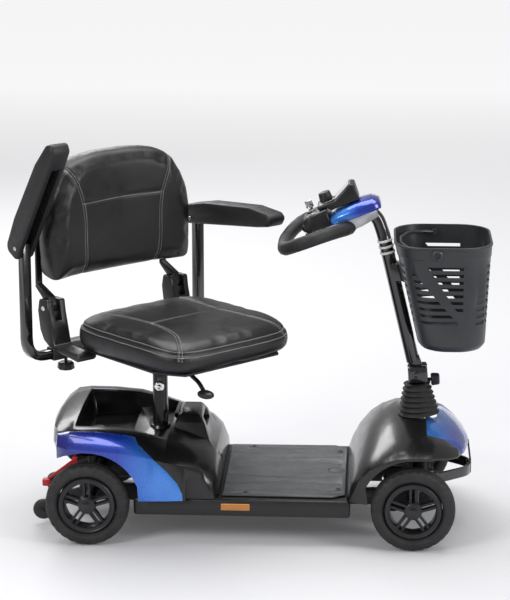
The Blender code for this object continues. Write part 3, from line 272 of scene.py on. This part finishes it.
M = {
    "frame": surface("satin_frame", (0.011, 0.011, 0.012, 1), 0.42, 0.3, grain=700),
    "gloss": surface("gloss_tube", (0.006, 0.006, 0.0065, 1), 0.16, 0.0, 0.8, strength=0.04, edge_highlight=0.3),
    "cover": surface("moulded_cover", (0.0058, 0.0060, 0.0066, 1), 0.24, 0.0, 0.15, mottle=9, strength=0.015,
                     grain=300, edge_highlight=0.15, vary=0.15, spread=0.03),
    "plastic": surface("textured_plastic", (0.0075, 0.0078, 0.0085, 1), 0.38, strength=0.25, grain=1300),
    "basket": surface("basket_plastic", (0.022, 0.025, 0.028, 1), 0.36, strength=0.12, grain=800, vary=0.12),
    "rim": surface("rim_plastic", (0.012, 0.0125, 0.014, 1), 0.36, 0.2, mottle=30),
    "rubber": surface("soft_rubber", (0.012, 0.012, 0.0125, 1), 0.58, strength=0.3, grain=1000, edge_highlight=0.4),
    "grip": surface("foam_grip", (0.0095, 0.0095, 0.0102, 1), 0.60, strength=0.35, grain=1500, edge_highlight=0.2),
    "pad": surface("arm_pad_skin", (0.0080, 0.0080, 0.0090, 1), 0.50, strength=0.30, grain=1600, mottle=20),
    "chrome": surface("bright_chrome", (0.78, 0.78, 0.80, 1), 0.10, 1.0, vary=0.05, spread=0.03, strength=0.03, edge_highlight=0),
    "silver": surface("silver_plastic", (0.42, 0.43, 0.45, 1), 0.34, 0.45, vary=0.1, edge_highlight=0.3),
    "white": surface("band_white", (0.72, 0.72, 0.70, 1), 0.40, vary=0.06, edge_highlight=0),
    "red": surface("red_plastic", (0.42, 0.012, 0.020, 1), 0.36, vary=0.12),
    "screen": surface("display_glass", (0.010, 0.012, 0.014, 1), 0.08, 0.0, 1.0, strength=0.02, edge_highlight=0),
    "leather": leather(), "thread": thread(), "blue_side": blue_lacquer_with_painted_light("blue_side", AXLE_X - 0.05, AXLE_X + 0.20),
    "blue_nose": blue_lacquer_with_painted_light("blue_nose", AXLE_X + 0.90, AXLE_X + 0.78),
    "blue_cowl": blue_lacquer_with_painted_light("blue_cowl", AXLE_X + 0.66, AXLE_X + 0.56), "tyre": tyre_rubber(),
    "mat": mat_rubber(), "amber": reflector(),
}


# ---- mesh tools --------------------------------------------------------------------------
def linked(bm):
    """A new object in the scene with the mesh that bm holds."""
    mesh = bpy.data.meshes.new("piece")
    bm.to_mesh(mesh)
    bm.free()
    ob = bpy.data.objects.new("piece", mesh)
    SCENE.collection.objects.link(ob)
    return ob


def made(bm, where=None):
    bmesh.ops.recalc_face_normals(bm, faces=bm.faces)
    if where is not None:
        bmesh.ops.transform(bm, matrix=where, verts=bm.verts)
    return linked(bm)


def settle(ob):
    """Applies the object's modifiers."""
    bpy.context.view_layer.update()
    graph = bpy.context.evaluated_depsgraph_get()
    mesh = bpy.data.meshes.new_from_object(ob.evaluated_get(graph))
    ob.modifiers.clear()
    ob.data = mesh
    return ob


def cut(ob, tool):
    mod = ob.modifiers.new("boolean", "BOOLEAN")
    mod.operation, mod.solver, mod.object = "DIFFERENCE", "EXACT", tool
    settle(ob)
    bpy.data.objects.remove(tool, do_unlink=True)
    return ob


def join(obs):
    """One object that holds all of the given meshes as they are."""
    bm = bmesh.new()
    for ob in obs:
        bm.from_mesh(ob.data)
        bpy.data.objects.remove(ob, do_unlink=True)
    return linked(bm)


def soften(ob, width, segments=2, angle=30):
    mod = ob.modifiers.new("bevel", "BEVEL")
    mod.width, mod.segments, mod.limit_method = width, segments, "ANGLE"
    mod.angle_limit = math.radians(angle)
    return settle(ob)


def block(where, lo, hi):
    bm = bmesh.new()
    bmesh.ops.create_cube(bm, size=1.0)
    bmesh.ops.scale(bm, vec=[b - a for a, b in zip(lo, hi)], verts=bm.verts)
    bmesh.ops.translate(bm, vec=[(a + b) / 2 for a, b in zip(lo, hi)], verts=bm.verts)
    return made(bm, where)


def rod(where, start, end, radius, sides=32):
    start, end = Vector(start), Vector(end)
    bm = bmesh.new()
    bmesh.ops.create_cone(bm, cap_ends=True, segments=sides, radius1=radius, radius2=radius,
                          depth=(end - start).length)
    bmesh.ops.transform(bm, matrix=facing((start + end) / 2, end - start), verts=bm.verts)
    return made(bm, where)


def slab(where, outline, axis, lo, hi, bevel=0.0):
    """An outline in the plane square to an axis, pushed from lo to hi along it."""
    k = "XYZ".index(axis)
    bm = bmesh.new()
    ring = []
    for point in outline:
        place = list(point)
        place.insert(k, lo)
        ring.append(bm.verts.new(place))
    pushed = bmesh.ops.extrude_face_region(bm, geom=[bm.faces.new(ring)])
    push = [0.0, 0.0, 0.0]
    push[k] = hi - lo
    moved = [v for v in pushed["geom"] if isinstance(v, bmesh.types.BMVert)]
    bmesh.ops.translate(bm, vec=push, verts=moved)
    ob = made(bm, where)
    return soften(ob, bevel) if bevel else ob


def turned(where, profile, axis="Z", steps=64, closed=True):
    """A profile of (radius, height) turned round an axis of the place."""
    rings = []
    for i in range(steps):
        a = 2 * math.pi * i / steps
        rings.append([(r * math.cos(a), r * math.sin(a), h) for r, h in profile])
    bm = bmesh.new()
    verts = [[bm.verts.new(p) for p in ring] for ring in rings]
    last = len(profile) if closed else len(profile) - 1
    for i in range(steps):
        one, two = verts[i], verts[(i + 1) % steps]
        for j in range(last):
            k = (j + 1) % len(profile)
            bm.faces.new((one[j], two[j], two[k], one[k]))
    bmesh.ops.remove_doubles(bm, verts=bm.verts, dist=WELD)
    if axis == "Y":
        bmesh.ops.transform(bm, matrix=Matrix.Rotation(-math.pi / 2, 4, "X"), verts=bm.verts)
    if axis == "X":
        bmesh.ops.transform(bm, matrix=Matrix.Rotation(math.pi / 2, 4, "Y"), verts=bm.verts)
    return made(bm, where)


def loft(where, sections):
    """A closed skin over rings of points, with a flat cap on each end."""
    bm = bmesh.new()
    rings = [[bm.verts.new(p) for p in section] for section in sections]
    for one, two in zip(rings, rings[1:]):
        for i in range(len(one)):
            j = (i + 1) % len(one)
            bm.faces.new((one[i], one[j], two[j], two[i]))
    bm.faces.new(rings[0])
    bm.faces.new(rings[-1])
    return made(bm, where)


def spline(points, steps, ring=False):
    """Points on a smooth curve through the given ones."""
    points = [Vector(p) for p in points]
    n = len(points)
    out = []
    for i in range(n if ring else n - 1):
        a = points[(i - 1) % n] if ring or i else points[0] * 2 - points[1]
        b, c = points[i], points[(i + 1) % n]
        d = points[(i + 2) % n] if ring or i + 2 < n else points[-1] * 2 - points[-2]
        for k in range(steps):
            t = k / steps
            out.append(0.5 * (2 * b + (c - a) * t + (2 * a - 5 * b + 4 * c - d) * t * t
                              + (3 * b - a - 3 * c + d) * t ** 3))
    return out if ring else out + [points[-1]]


def show(ob, name, look, body, nodes=(), angle=35):
    """Names a piece, gives it its material and lets it ride on a body."""
    ob.name = ob.data.name = name
    ob.data.materials.clear()
    ob.data.materials.append(M[look])
    for face in ob.data.polygons:
        face.use_smooth = True
    ob.data.set_sharp_from_angle(angle=math.radians(angle))
    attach(ob, body)
    if nodes:
        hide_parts(*nodes)
    return ob


BODY_OF = {node: body for body, nodes in frame["record"]["behaviour"]["bodies"].items() for node in nodes}


def polish(node, look, bevel=0.0010, segments=2, angle=38):
    """The CAD node with clean flat faces, small rounded edges and its own material."""
    bm = bmesh.new()
    bm.from_mesh(frame["nodes"][node].data)
    bmesh.ops.remove_doubles(bm, verts=bm.verts, dist=WELD)
    bmesh.ops.dissolve_limit(bm, angle_limit=math.radians(0.6), verts=bm.verts, edges=bm.edges)
    ob = made(bm)
    if bevel:
        mod = ob.modifiers.new("edges", "BEVEL")
        mod.width, mod.segments, mod.limit_method = bevel, segments, "ANGLE"
        mod.angle_limit, mod.use_clamp_overlap = math.radians(40), True
        settle(ob)
    return show(ob, f"{node}_skin", look, BODY_OF[node], (node,), angle)


# ---- stage -------------------------------------------------------------------------------
def stage():
    camera = bpy.data.objects.new("camera", bpy.data.cameras.new("camera"))
    camera.data.lens = 129.6
    camera.location = (0.650 + AXLE_X, -4.892, 1.737)
    camera.rotation_euler = (math.pi / 2 - 0.242, 0, 0.0567)
    SCENE.collection.objects.link(camera)
    SCENE.camera = camera

    bm = bmesh.new()
    bmesh.ops.create_grid(bm, x_segments=1, y_segments=1, size=40)
    floor = made(bm)
    floor.name = "floor"
    n = Nodes("studio_floor")
    split = n.add("ShaderNodeSeparateXYZ")
    n.link(n.place, split.inputs["Vector"])
    # painted light: further back the floor's colour is paler
    painted_far_light = n.span(split.outputs["Y"], 0.0, 1.0, 1.0, 9.0)
    tone = n.ramp(painted_far_light, ((0.0, (0.60, 0.60, 0.62, 1)), (1.0, (0.70, 0.70, 0.71, 1))))
    n.link(tone, n.shader.inputs["Base Color"])
    # painted light: the floor glows more the further back it lies, though it is no lamp
    n.shader.inputs["Emission Color"].default_value = (1.0, 1.0, 1.01, 1)
    n.link(n.span(split.outputs["Y"], 0.06, 0.66, 0.8, 7.0), n.shader.inputs["Emission Strength"])
    n.shader.inputs["Roughness"].default_value = 0.55
    n.shader.inputs["Specular IOR Level"].default_value = 0.15
    floor.data.materials.append(n.material)

    world = bpy.data.worlds.new("studio")
    world.use_nodes = True
    back = world.node_tree.nodes["Background"]
    back.inputs["Color"].default_value = (1.0, 1.0, 1.0, 1)
    back.inputs["Strength"].default_value = 0.34
    SCENE.world = world
    lamps = (("top", (0.0, 0.6, 3.6), (0, 0, 0.3), 3.4, 2.4, 135),
             ("key", (-2.4, -3.0, 2.6), (0, 0, 0.4), 1.4, 1.4, 75),
             ("side", (3.0, -1.6, 1.8), (0.1, 0, 0.4), 0.9, 1.8, 50),
             ("rear", (-1.5, 3.2, 2.2), (0, 0, 0.4), 2.0, 1.2, 40))
    for name, at, to, wide, high, power in lamps:
        lamp = bpy.data.lights.new(name, "AREA")
        lamp.shape, lamp.size, lamp.size_y, lamp.energy = "RECTANGLE", wide, high, power
        ob = bpy.data.objects.new(name, lamp)
        ob.location = at
        ob.rotation_euler = (Vector(to) - Vector(at)).to_track_quat("-Z", "Y").to_euler()
        SCENE.collection.objects.link(ob)
    SCENE.view_settings.view_transform = "Standard"


# ---- CAD nodes that keep their shape -----------------------------------------------------
def kept_shapes():
    for node in ("chassis_frame", "front_axle", "transaxle", "tie_rod", "seat_stem",
                 "steering_knuckle_right", "steering_knuckle_left"):
        polish(node, "frame", 0.0008)
    for node in ("seat_post", "arm_bar_right", "arm_bar_left", "steering_stem", "tiller_tube", "front_bumper"):
        polish(node, "gloss", 0.0008)
    for node in ("floor_pan", "seat_pan", "backrest_frame", "control_pod", "display_hood", "swivel_lever",
                 "tiller_lock_knob", "arm_knob_right", "arm_knob_left", "speed_dial", "horn_button",
                 "throttle_lever_right", "throttle_lever_left"):
        polish(node, "plastic", 0.0010)
    for node in ("arm_pad_right", "arm_pad_left"):
        polish(node, "pad", 0.0030, 3)
    polish("floor_mat", "mat", 0.0)
    polish("steering_boot", "rubber", 0.0008)
    polish("antitip_wheel_right", "rubber", 0.0010)
    polish("antitip_wheel_left", "rubber", 0.0010)
    polish("height_bolt", "chrome", 0.0005)
    polish("head_tray", "silver", 0.0012)
    polish("key", "chrome", 0.0004)
    polish("freewheel_lever", "red", 0.0010)
    polish("side_reflector_right", "amber", 0.0004)
    polish("side_reflector_left", "amber", 0.0004)
    polish("basket_handle", "basket", 0.0006)
    polish("hand_loop", "grip", 0.0)
    for side, _ in SIDES:
        for end in ("rear", "front"):
            polish(f"rim_{end}_{side}", "rim", 0.0008)


# ---- bodywork ----------------------------------------------------------------------------
def bodywork():
    for node in ("rear_shroud", "mid_cover", "battery_pack", "front_shroud"):
        polish(node, "cover", 0.0016, 3, 50)
    for node, look in (("side_panel_right", "blue_side"), ("side_panel_left", "blue_side"),
                       ("nose_panel", "blue_nose"), ("head_cowl", "blue_cowl")):
        polish(node, look, 0.0012, 2, 50)
    place = axes(Vector((0.92, 0, -0.39)).normalized(), ACROSS,
                 Vector((0.39, 0, 0.92)).normalized(), BASE @ Vector((0.2905, -0.060, 0.166)))
    cap = turned(place, [(0.0, 0.0020), (0.0060, 0.0020), (0.0070, 0.0005), (0.0095, 0.0005),
                         (0.0105, 0.0030), (0.0118, 0.0030), (0.0118, -0.006), (0.0, -0.006)], "X", 40, False)
    show(cap, "charging_port", "silver", "battery")


# ---- wheels ------------------------------------------------------------------------------
def tyres():
    """Solid tyre with blocks on its shoulders and two grooves round the crown."""
    w = TYRE_W / 2
    cut_depth, hub_depth = 0.0024, 0.0035
    half = [(0.0176, 0.0676), (0.0205, 0.0700), (0.0240, 0.0735), (0.0250, 0.0765), (w, 0.0785), (w, 0.0800),
            (0.0249, 0.0815), (0.0246, 0.0850), (0.0236, 0.0885), (0.0218, 0.0915), (0.0190, 0.0937),
            (0.0150, 0.0950), (0.0105, 0.0957), (0.0098, 0.0940), (0.0082, 0.0940), (0.0075, 0.0961),
            (0.0000, WHEEL_R)]
    profile = half + [(-y, r) for y, r in reversed(half[:-1])]
    blocks, parts = 30, 4
    for end in ("rear", "front"):
        for side, s in SIDES:
            name = f"{end}_{side}"
            hub = Matrix.Translation(joint_at(f"{end}_wheel_{side}_roll"))
            bm = bmesh.new()
            rings = []
            count = blocks * parts
            for i in range(count):
                ring = []
                for y, r in profile:
                    skew = 0.5 if y > 0 else 0.0
                    turn = 2 * math.pi * (i + skew * parts) / count
                    low = i % parts == 0 and 0.0130 < abs(y) < 0.0240 and r > 0.0860
                    deep = r - (cut_depth if low else 0.0)
                    ring.append(bm.verts.new((deep * math.cos(turn), y, deep * math.sin(turn))))
                rings.append(ring)
            for i in range(count):
                one, two = rings[i], rings[(i + 1) % count]
                for j in range(len(profile)):
                    k = (j + 1) % len(profile)
                    bm.faces.new((one[j], one[k], two[k], two[j]))
            show(made(bm, hub), f"tyre_{name}_tread", "tyre", f"{end}_wheel_{side}", (f"tyre_{name}",), 25)
            o = s * (w - hub_depth)
            cap = turned(hub, [(0.0, o + s * 0.0016), (0.0085, o + s * 0.0014), (0.0102, o + s * 0.0002),
                               (0.0120, o - s * 0.0002), (0.0150, o + s * 0.0004),
                               (0.0158, o - s * 0.004), (0.0, o - s * 0.004)], "Y", 48, False)
            show(cap, f"hub_cap_{name}", "cover", f"{end}_wheel_{side}")
            lip = turned(hub, [(0.0600, o + s * 0.0004), (0.0630, o + s * 0.0018), (0.0655, o - s * 0.0010),
                               (0.0655, o - s * 0.004), (0.0600, o - s * 0.003)], "Y", 72)
            show(lip, f"rim_lip_{name}", "rim", f"{end}_wheel_{side}")


# ---- seat --------------------------------------------------------------------------------
def pillow(ob, cap, voxel=0.005, pressure=4.0):
    """Blows the pad up a little as sewn cloth, and keeps each point within cap of where it was."""
    mod = ob.modifiers.new("remesh", "REMESH")
    mod.mode, mod.voxel_size = "VOXEL", voxel
    settle(ob)
    start = [v.co.copy() for v in ob.data.vertices]
    cloth = ob.modifiers.new("cloth", "CLOTH")
    cloth.settings.use_pressure = True
    cloth.settings.uniform_pressure_force = pressure
    cloth.settings.effector_weights.gravity = 0.0
    cloth.settings.quality = 4
    for number in range(1, 21):
        SCENE.frame_set(number)
    settle(ob)
    SCENE.frame_set(1)
    for v, old in zip(ob.data.vertices, start):
        move = v.co - old
        if move.length > cap:
            v.co = old + move.normalized() * cap
    mod = ob.modifiers.new("smooth", "SMOOTH")
    mod.factor, mod.iterations = 0.5, 6
    settle(ob)
    mod = ob.modifiers.new("finer", "SUBSURF")
    mod.levels = mod.render_levels = 1
    return settle(ob)


def sew(ob, seams, width, depth):
    """Presses seams into the pad: each point near a seam's points sinks along its normal."""
    for seam in seams:
        tree = KDTree(len(seam))
        for number, point in enumerate(seam):
            tree.insert(point, number)
        tree.balance()
        moves = []
        for v in ob.data.vertices:
            near = tree.find(v.co)[2]
            if near < width * 2.5:
                moves.append((v, v.normal * depth * math.exp(-(near / width) ** 2)))
        for v, move in moves:
            v.co -= move
    ob.data.update()


def tree_of(ob):
    return BVHTree.FromPolygons([v.co for v in ob.data.vertices], [p.vertices for p in ob.data.polygons])


def dense(line, step=0.0015):
    """The line with points no further apart than the step."""
    out = [line[0]]
    for a, b in zip(line, line[1:]):
        count = max(1, math.ceil((b - a).length / step))
        out += [a.lerp(b, k / count) for k in range(1, count + 1)]
    return out


def dropped(tree, place, line, toward):
    """The line laid on the pad from the side that it faces: points and normals."""
    look = place.to_3x3() @ toward
    out = []
    for p in dense(line):
        hit, normal, _, _ = tree.ray_cast(place @ (p + toward * 0.08), -look, 0.3)
        if hit is not None:
            out.append((hit, normal))
    return out


def nearest(tree, place, line):
    """The line moved to the closest points of the pad: points and normals."""
    out = []
    for p in dense(line):
        hit, normal, _, _ = tree.find_nearest(place @ p)
        out.append((hit, normal))
    return out


def stitches(rows, pitch=0.0062, length=0.0043, radius=0.00055):
    """Short lengths of thread laid along rows of points and normals."""
    verts, faces = [], []
    bead = [(-0.5, 0.25), (-0.35, 0.9), (0.0, 1.15), (0.35, 0.9), (0.5, 0.25)]
    sides = 6
    for row in rows:
        travel, due = 0.0, 0.0
        for (a, na), (b, nb) in zip(row, row[1:]):
            step = (b - a).length
            if step > 0.02 or step < 1e-7:
                continue
            while due < travel + step:
                t = (due - travel) / step
                at, up = a.lerp(b, t), na.lerp(nb, t).normalized()
                along = (b - a).normalized()
                side = up.cross(along).normalized()
                up = along.cross(side)
                first = len(verts)
                for run, fat in bead:
                    for k in range(sides):
                        turn = 2 * math.pi * k / sides
                        verts.append(at + up * radius * 0.4 + along * run * length
                                     + (side * math.cos(turn) + up * math.sin(turn)) * radius * fat)
                for ring in range(len(bead) - 1):
                    for k in range(sides):
                        one, two = first + ring * sides, first + (ring + 1) * sides
                        m = (k + 1) % sides
                        faces.append((one + k, one + m, two + m, two + k))
                faces.append([first + k for k in range(sides)])
                faces.append([first + (len(bead) - 1) * sides + k for k in range(sides)])
                due += pitch
            travel += step
    mesh = bpy.data.meshes.new("stitches")
    mesh.from_pydata(verts, [], faces)
    bm = bmesh.new()
    bm.from_mesh(mesh)
    return made(bm)


def beside(line, offset, flat):
    """The line moved sideways in the plane square to the axis flat."""
    out = []
    for i, p in enumerate(line):
        a, b = line[max(0, i - 1)], line[min(len(line) - 1, i + 1)]
        run = (b - a).normalized()
        up = Vector([1.0 if k == flat else 0.0 for k in range(3)])
        out.append(p + run.cross(up).normalized() * offset)
    return out


def squircle(a, b, power, steps):
    """A rectangle with round corners: points on a superellipse."""
    out = []
    for i in range(steps):
        t = 2 * math.pi * i / steps
        c, s = math.cos(t), math.sin(t)
        r = (abs(c) ** power + abs(s) ** power) ** (-1 / power)
        out.append((a * r * c, b * r * s))
    return out


def seat_cushion():
    mid_f, half = 0.087, 0.2020
    ring = squircle(half, half, 5.0, 96)
    levels = [(0.02, 0.4275), (0.5, 0.4275), (0.93, 0.4278), (0.975, 0.4310), (0.998, 0.4400), (1.006, 0.4540),
              (1.0, 0.4700), (0.978, 0.4815), (0.935, 0.4880), (0.86, 0.4925), (0.7, 0.4965), (0.45, 0.4985),
              (0.2, 0.4993), (0.02, 0.4995)]

    def dip(f, z):
        return z - (0.015 * max(0.0, (f - 0.150) / 0.15) ** 2 if z > 0.46 else 0.0)

    pad = loft(SEAT, [[(mid_f + f * k, l * k, dip(mid_f + f * k, z)) for f, l in ring] for k, z in levels])
    pillow(pad, 0.007)
    # the top: two long seams that open towards the front corners, one across, one round the edge
    lines, rows = [], []
    for s in (-1, 1):
        line = spline([(-0.100, s * 0.122, 0.5), (0.0, s * 0.108, 0.5), (0.096, s * 0.102, 0.5),
                       (0.190, s * 0.116, 0.5), (0.250, s * 0.146, 0.5), (0.272, s * 0.164, 0.5)], 8)
        lines.append(line)
        rows += [beside(line, 0.0036, 2), beside(line, -0.0036, 2)]
    lines.append([Vector((0.096, -0.101, 0.5)), Vector((0.098, 0.0, 0.5)), Vector((0.096, 0.101, 0.5))])
    edge = [Vector((mid_f + f * 0.972, l * 0.972, dip(mid_f + f * 0.972, 0.4850))) for f, l in ring]
    tree = tree_of(pad)
    seams = [[p for p, _ in dropped(tree, SEAT, line, UP)] for line in lines]
    seams.append([p for p, _ in nearest(tree, SEAT, edge + edge[:1])])
    sew(pad, seams, 0.0042, 0.0032)
    show(pad, "seat_cushion_pad", "leather", "seat", ("seat_cushion",), 180)
    tree = tree_of(pad)
    show(stitches([dropped(tree, SEAT, row, UP) for row in rows]), "seat_seam_stitching", "thread", "seat")
    rings = []
    for k, z in ((0.955, 0.4885), (0.988, 0.4795)):
        row = [Vector((mid_f + f * k, l * k, dip(mid_f + f * k, z))) for f, l in ring]
        rings.append(nearest(tree, SEAT, row + row[:1]))
    show(stitches(rings), "seat_edge_stitching", "thread", "seat")


def back_cushion():
    half = [(0.0, 0.0600), (0.1000, 0.0615), (0.1850, 0.0650), (0.2040, 0.0760), (0.2105, 0.1300),
            (0.2095, 0.2000), (0.1980, 0.2600), (0.1690, 0.3170), (0.1260, 0.3465), (0.0640, 0.3590), (0.0, 0.3605)]
    right = spline([(w, z, 0) for w, z in half], 5)
    ring = [(p.x, p.y) for p in right] + [(-p.x, p.y) for p in reversed(right[1:-1])]
    mid_z = 0.215
    levels = [(0.02, -0.0435), (0.5, -0.0435), (0.90, -0.0430), (0.965, -0.0380), (0.992, -0.0260), (1.0, -0.0120),
              (0.995, 0.0020), (0.970, 0.0120), (0.920, 0.0180), (0.80, 0.0225), (0.5, 0.0250), (0.02, 0.0260)]
    loops = []
    for scale, depth in levels:
        grow = min(1.0, max(0.0, (depth + 0.044) / 0.02))
        loops.append([(depth + 0.032 * (abs(w * scale) / 0.21) ** 2 * grow, w * scale,
                       mid_z + (z - mid_z) * scale) for w, z in ring])
    pad = loft(BACK, loops)
    pillow(pad, 0.006)
    front = Vector((1, 0, 0))
    lines, rows = [], []
    for s in (-1, 1):
        line = spline([(0.03, s * 0.108, 0.062), (0.03, s * 0.112, 0.140), (0.03, s * 0.113, 0.205),
                       (0.03, s * 0.121, 0.250), (0.03, s * 0.138, 0.296), (0.03, s * 0.152, 0.325)], 8)
        lines.append(line)
        rows += [beside(line, 0.0034, 0), beside(line, -0.0034, 0)]
    across = spline([(0.03, -0.119, 0.244), (0.03, 0.0, 0.246), (0.03, 0.119, 0.244)], 12)
    lines.append(across)
    rows.append(beside(across, 0.0032, 0))
    tree = tree_of(pad)
    sew(pad, [[p for p, _ in dropped(tree, BACK, line, front)] for line in lines], 0.0042, 0.0030)
    show(pad, "backrest_cushion_pad", "leather", "backrest", ("backrest_cushion",), 180)
    tree = tree_of(pad)
    show(stitches([dropped(tree, BACK, row, front) for row in rows]), "backrest_stitching", "thread", "backrest")


# ---- basket ------------------------------------------------------------------------------
def basket():
    """Tapered basket wall with nine rows of slots and a solid band slanting across them."""
    def outline(x0, x1, w, r, z, grow=0.0):
        x0, x1, w = x0 - grow, x1 + grow, w + grow
        out = []
        for cx, cy, start in ((x1 - r, w - r, 0), (x0 + r, w - r, 90), (x0 + r, -w + r, 180), (x1 - r, -w + r, 270)):
            for i in range(9):
                a = math.radians(start + 90 * i / 8)
                out.append((cx + r * math.cos(a), cy + r * math.sin(a), z))
        return out

    def level(z):
        t = max(0.0, min(1.0, (z - 0.438) / 0.2485))
        k = min(1.0, (z - 0.438) / 0.018) ** 0.5 if z > 0.438 else 0.0
        x0 = 0.7550 - 0.0593 * t + 0.0130 * (1 - k)
        x1 = 0.9050 + 0.0115 * t - 0.0150 * (1 - k)
        w = 0.1225 + 0.0125 * t - 0.0125 * (1 - k)
        return x0, x1, w, 0.050 + 0.022 * t

    wall = 0.0026
    heights = [0.4380, 0.4405, 0.4450, 0.4510, 0.4560, 0.54, 0.62, 0.6560, 0.6575, 0.6800, 0.6815, 0.6850, 0.6860]
    grows = [0, 0, 0, 0, 0, 0, 0, 0, 0.0012, 0.0012, 0.0026, 0.0026, 0.0018]
    outer = [outline(*level(z), z, g) for z, g in zip(heights, grows)]
    inner = [outline(*level(max(z, 0.4415)), max(z, 0.4410), -wall) for z in reversed(heights[2:])]
    cup = loft(BASE, outer + inner)

    tools = []
    rows, first, pitch, tall = 9, 0.6330, 0.01600, 0.0078
    for i in range(rows):
        z = first - i * pitch
        rear = level(z)[0] + 0.0230
        band = 0.7320 + 0.0140 * i
        thick = 0.0440 - 0.0036 * i
        lean = 0.0065
        for x0, x1 in ((rear, band), (band + thick, 0.8520)):
            if x1 - x0 > 0.006:
                tools.append(slab(BASE, [(x0, z), (x1, z), (x1 - lean * (x1 < 0.85), z + tall),
                                         (x0 - lean * (x0 > 0.75), z + tall)], "Y", -0.3, 0.3))
        y = level(z)[2] - 0.034
        for lo, hi in ((-y, -y * 0.36), (-y * 0.28, y * 0.28), (y * 0.36, y)):
            tools.append(block(BASE, (0.845, lo, z), (0.960, hi, z + tall)))
            tools.append(block(BASE, (0.660, lo, z), (0.770, hi, z + tall)))
        for s in (-1, 1):
            corner = BASE @ Matrix.Translation((level(z)[1] - 0.016, s * (level(z)[2] - 0.016), z))
            turn = corner @ Matrix.Rotation(math.radians(45 * s), 4, "Z")
            tools.append(block(turn, (-0.004, -0.0130, 0), (0.040, 0.0130, tall)))
    cut(cup, join(tools))
    show(soften(cup, 0.0006, 1, 40), "basket_shell", "basket", "basket", ("basket",), 40)
    hook = slab(BASE, [(0.7161, 0.5820), (0.7229, 0.5820), (0.7132, 0.6220), (0.7064, 0.6220)],
                "Y", -0.0300, 0.0300, 0.001)
    show(hook, "basket_hook", "basket", "basket")
    bail = joint_at("basket_handle_swing")
    for side, s in SIDES:
        boss = turned(Matrix.Translation(bail), [(0.0, s * 0.1370), (0.0050, s * 0.1370), (0.0062, s * 0.1397),
                                                 (0.0105, s * 0.1405), (0.0125, s * 0.1390), (0.0128, s * 0.1325),
                                                 (0.0, s * 0.1325)], "Y", 48, False)
        show(boss, f"basket_boss_{side}", "basket", "basket")
        pin = rod(Matrix.Translation(bail), (0, s * 0.1225, 0), (0, s * 0.1335, 0), 0.0042, 24)
        show(pin, f"basket_pin_{side}", "basket", "basket")


# ---- control head ------------------------------------------------------------------------
def control_head():
    """The lit window on the raised end of the hood, and the rings under the dial, key and horn."""
    glass = slab(HEAD, [(-0.0560, 0.0470), (-0.0310, 0.0604), (-0.0160, 0.0696), (-0.0165, 0.0704),
                        (-0.0315, 0.0612), (-0.0565, 0.0478)], "Y", -0.0290, 0.0290)
    show(glass, "display_window", "screen", "tiller")
    for name, at, r in (("dial", (-0.0780, 0, 0.0446), 0.0190), ("key", (-0.1220, 0.028, 0.0313), 0.0085),
                        ("horn", (-0.1220, -0.028, 0.0313), 0.0085)):
        ring = turned(HEAD @ Matrix.Translation(at), [(0.0, 0.0), (0.0, 0.0006), (r - 0.0020, 0.0006),
                                                     (r - 0.0012, 0.0008), (r, 0.0002), (r, -0.0020), (0.0, -0.0020)],
                      "Z", 40, False)
        show(ring, f"{name}_ring", "silver", "tiller")


def tiller_bands():
    """White rings near the top of the tube."""
    foot, up = Vector((-0.0070, 0, 0.0260)), Vector((-0.0810, 0, 0.3310))
    run = (up - foot).normalized()
    for i, k in enumerate((-0.014, 0.0, 0.014)):
        centre = foot + (up - foot) * 0.90 + run * k
        place = TILLER @ axes(ACROSS.cross(run), ACROSS, run, centre)
        band = turned(place, [(0.0160, -0.0026), (0.0176, -0.0026), (0.0179, 0), (0.0176, 0.0026),
                              (0.0160, 0.0026)], "Z", 48)
        show(band, f"tiller_band_{i + 1}", "white", "tiller")


def screw_head(where, name, look, body, radius=0.0045, height=0.0020):
    """A domed screw head with a hexagon socket, standing on its place's +Z."""
    head = turned(where, [(0.0, -0.0010), (radius, -0.0010), (radius, height * 0.4), (radius * 0.8, height),
                          (0.0, height)], "Z", 28, False)
    socket = rod(where, (0, 0, height * 0.35), (0, 0, height * 2), radius * 0.45, 6)
    show(cut(head, socket), name, look, body)


def screws():
    """Screw heads on the mat, at the arm pads' pivots and at the backrest's hinge, and the mat's disc."""
    pad_half, hinge_half = 0.0262, 0.2128
    for side, s in SIDES:
        for i, (x, y) in enumerate(((0.359, 0.175), (0.572, 0.142))):
            place = BASE @ Matrix.Translation((x, s * y, MAT_TOP + 0.0014))
            screw_head(place, f"mat_screw_{side}_{i + 1}", "cover", "chassis", 0.0062, 0.0012)
        flip = joint_at(f"arm_pad_{side}_flip")
        for end, t in (("outer", 1), ("inner", -1)):
            place = facing(flip + SEAT_L * s * t * pad_half, SEAT_L * s * t)
            screw_head(place, f"arm_bolt_{side}_{end}", "chrome", f"arm_pad_{side}", 0.0050, 0.0022)
        place = facing(joint_at("backrest_fold") + SEAT_L * s * hinge_half, SEAT_L * s)
        screw_head(place, f"hinge_bolt_{side}", "chrome", "seat", 0.0060, 0.0024)
    emblem = turned(BASE @ Matrix.Translation((0.566, 0, MAT_TOP)),
                    [(0.0, 0.0004), (0.0150, 0.0004), (0.0165, -0.0002), (0.0165, -0.0012), (0.0, -0.0012)],
                    "Z", 48, False)
    show(emblem, "mat_disc", "mat", "chassis")


stage()
kept_shapes()
bodywork()
tyres()
seat_cushion()
back_cushion()
basket()
control_head()
tiller_bands()
screws()
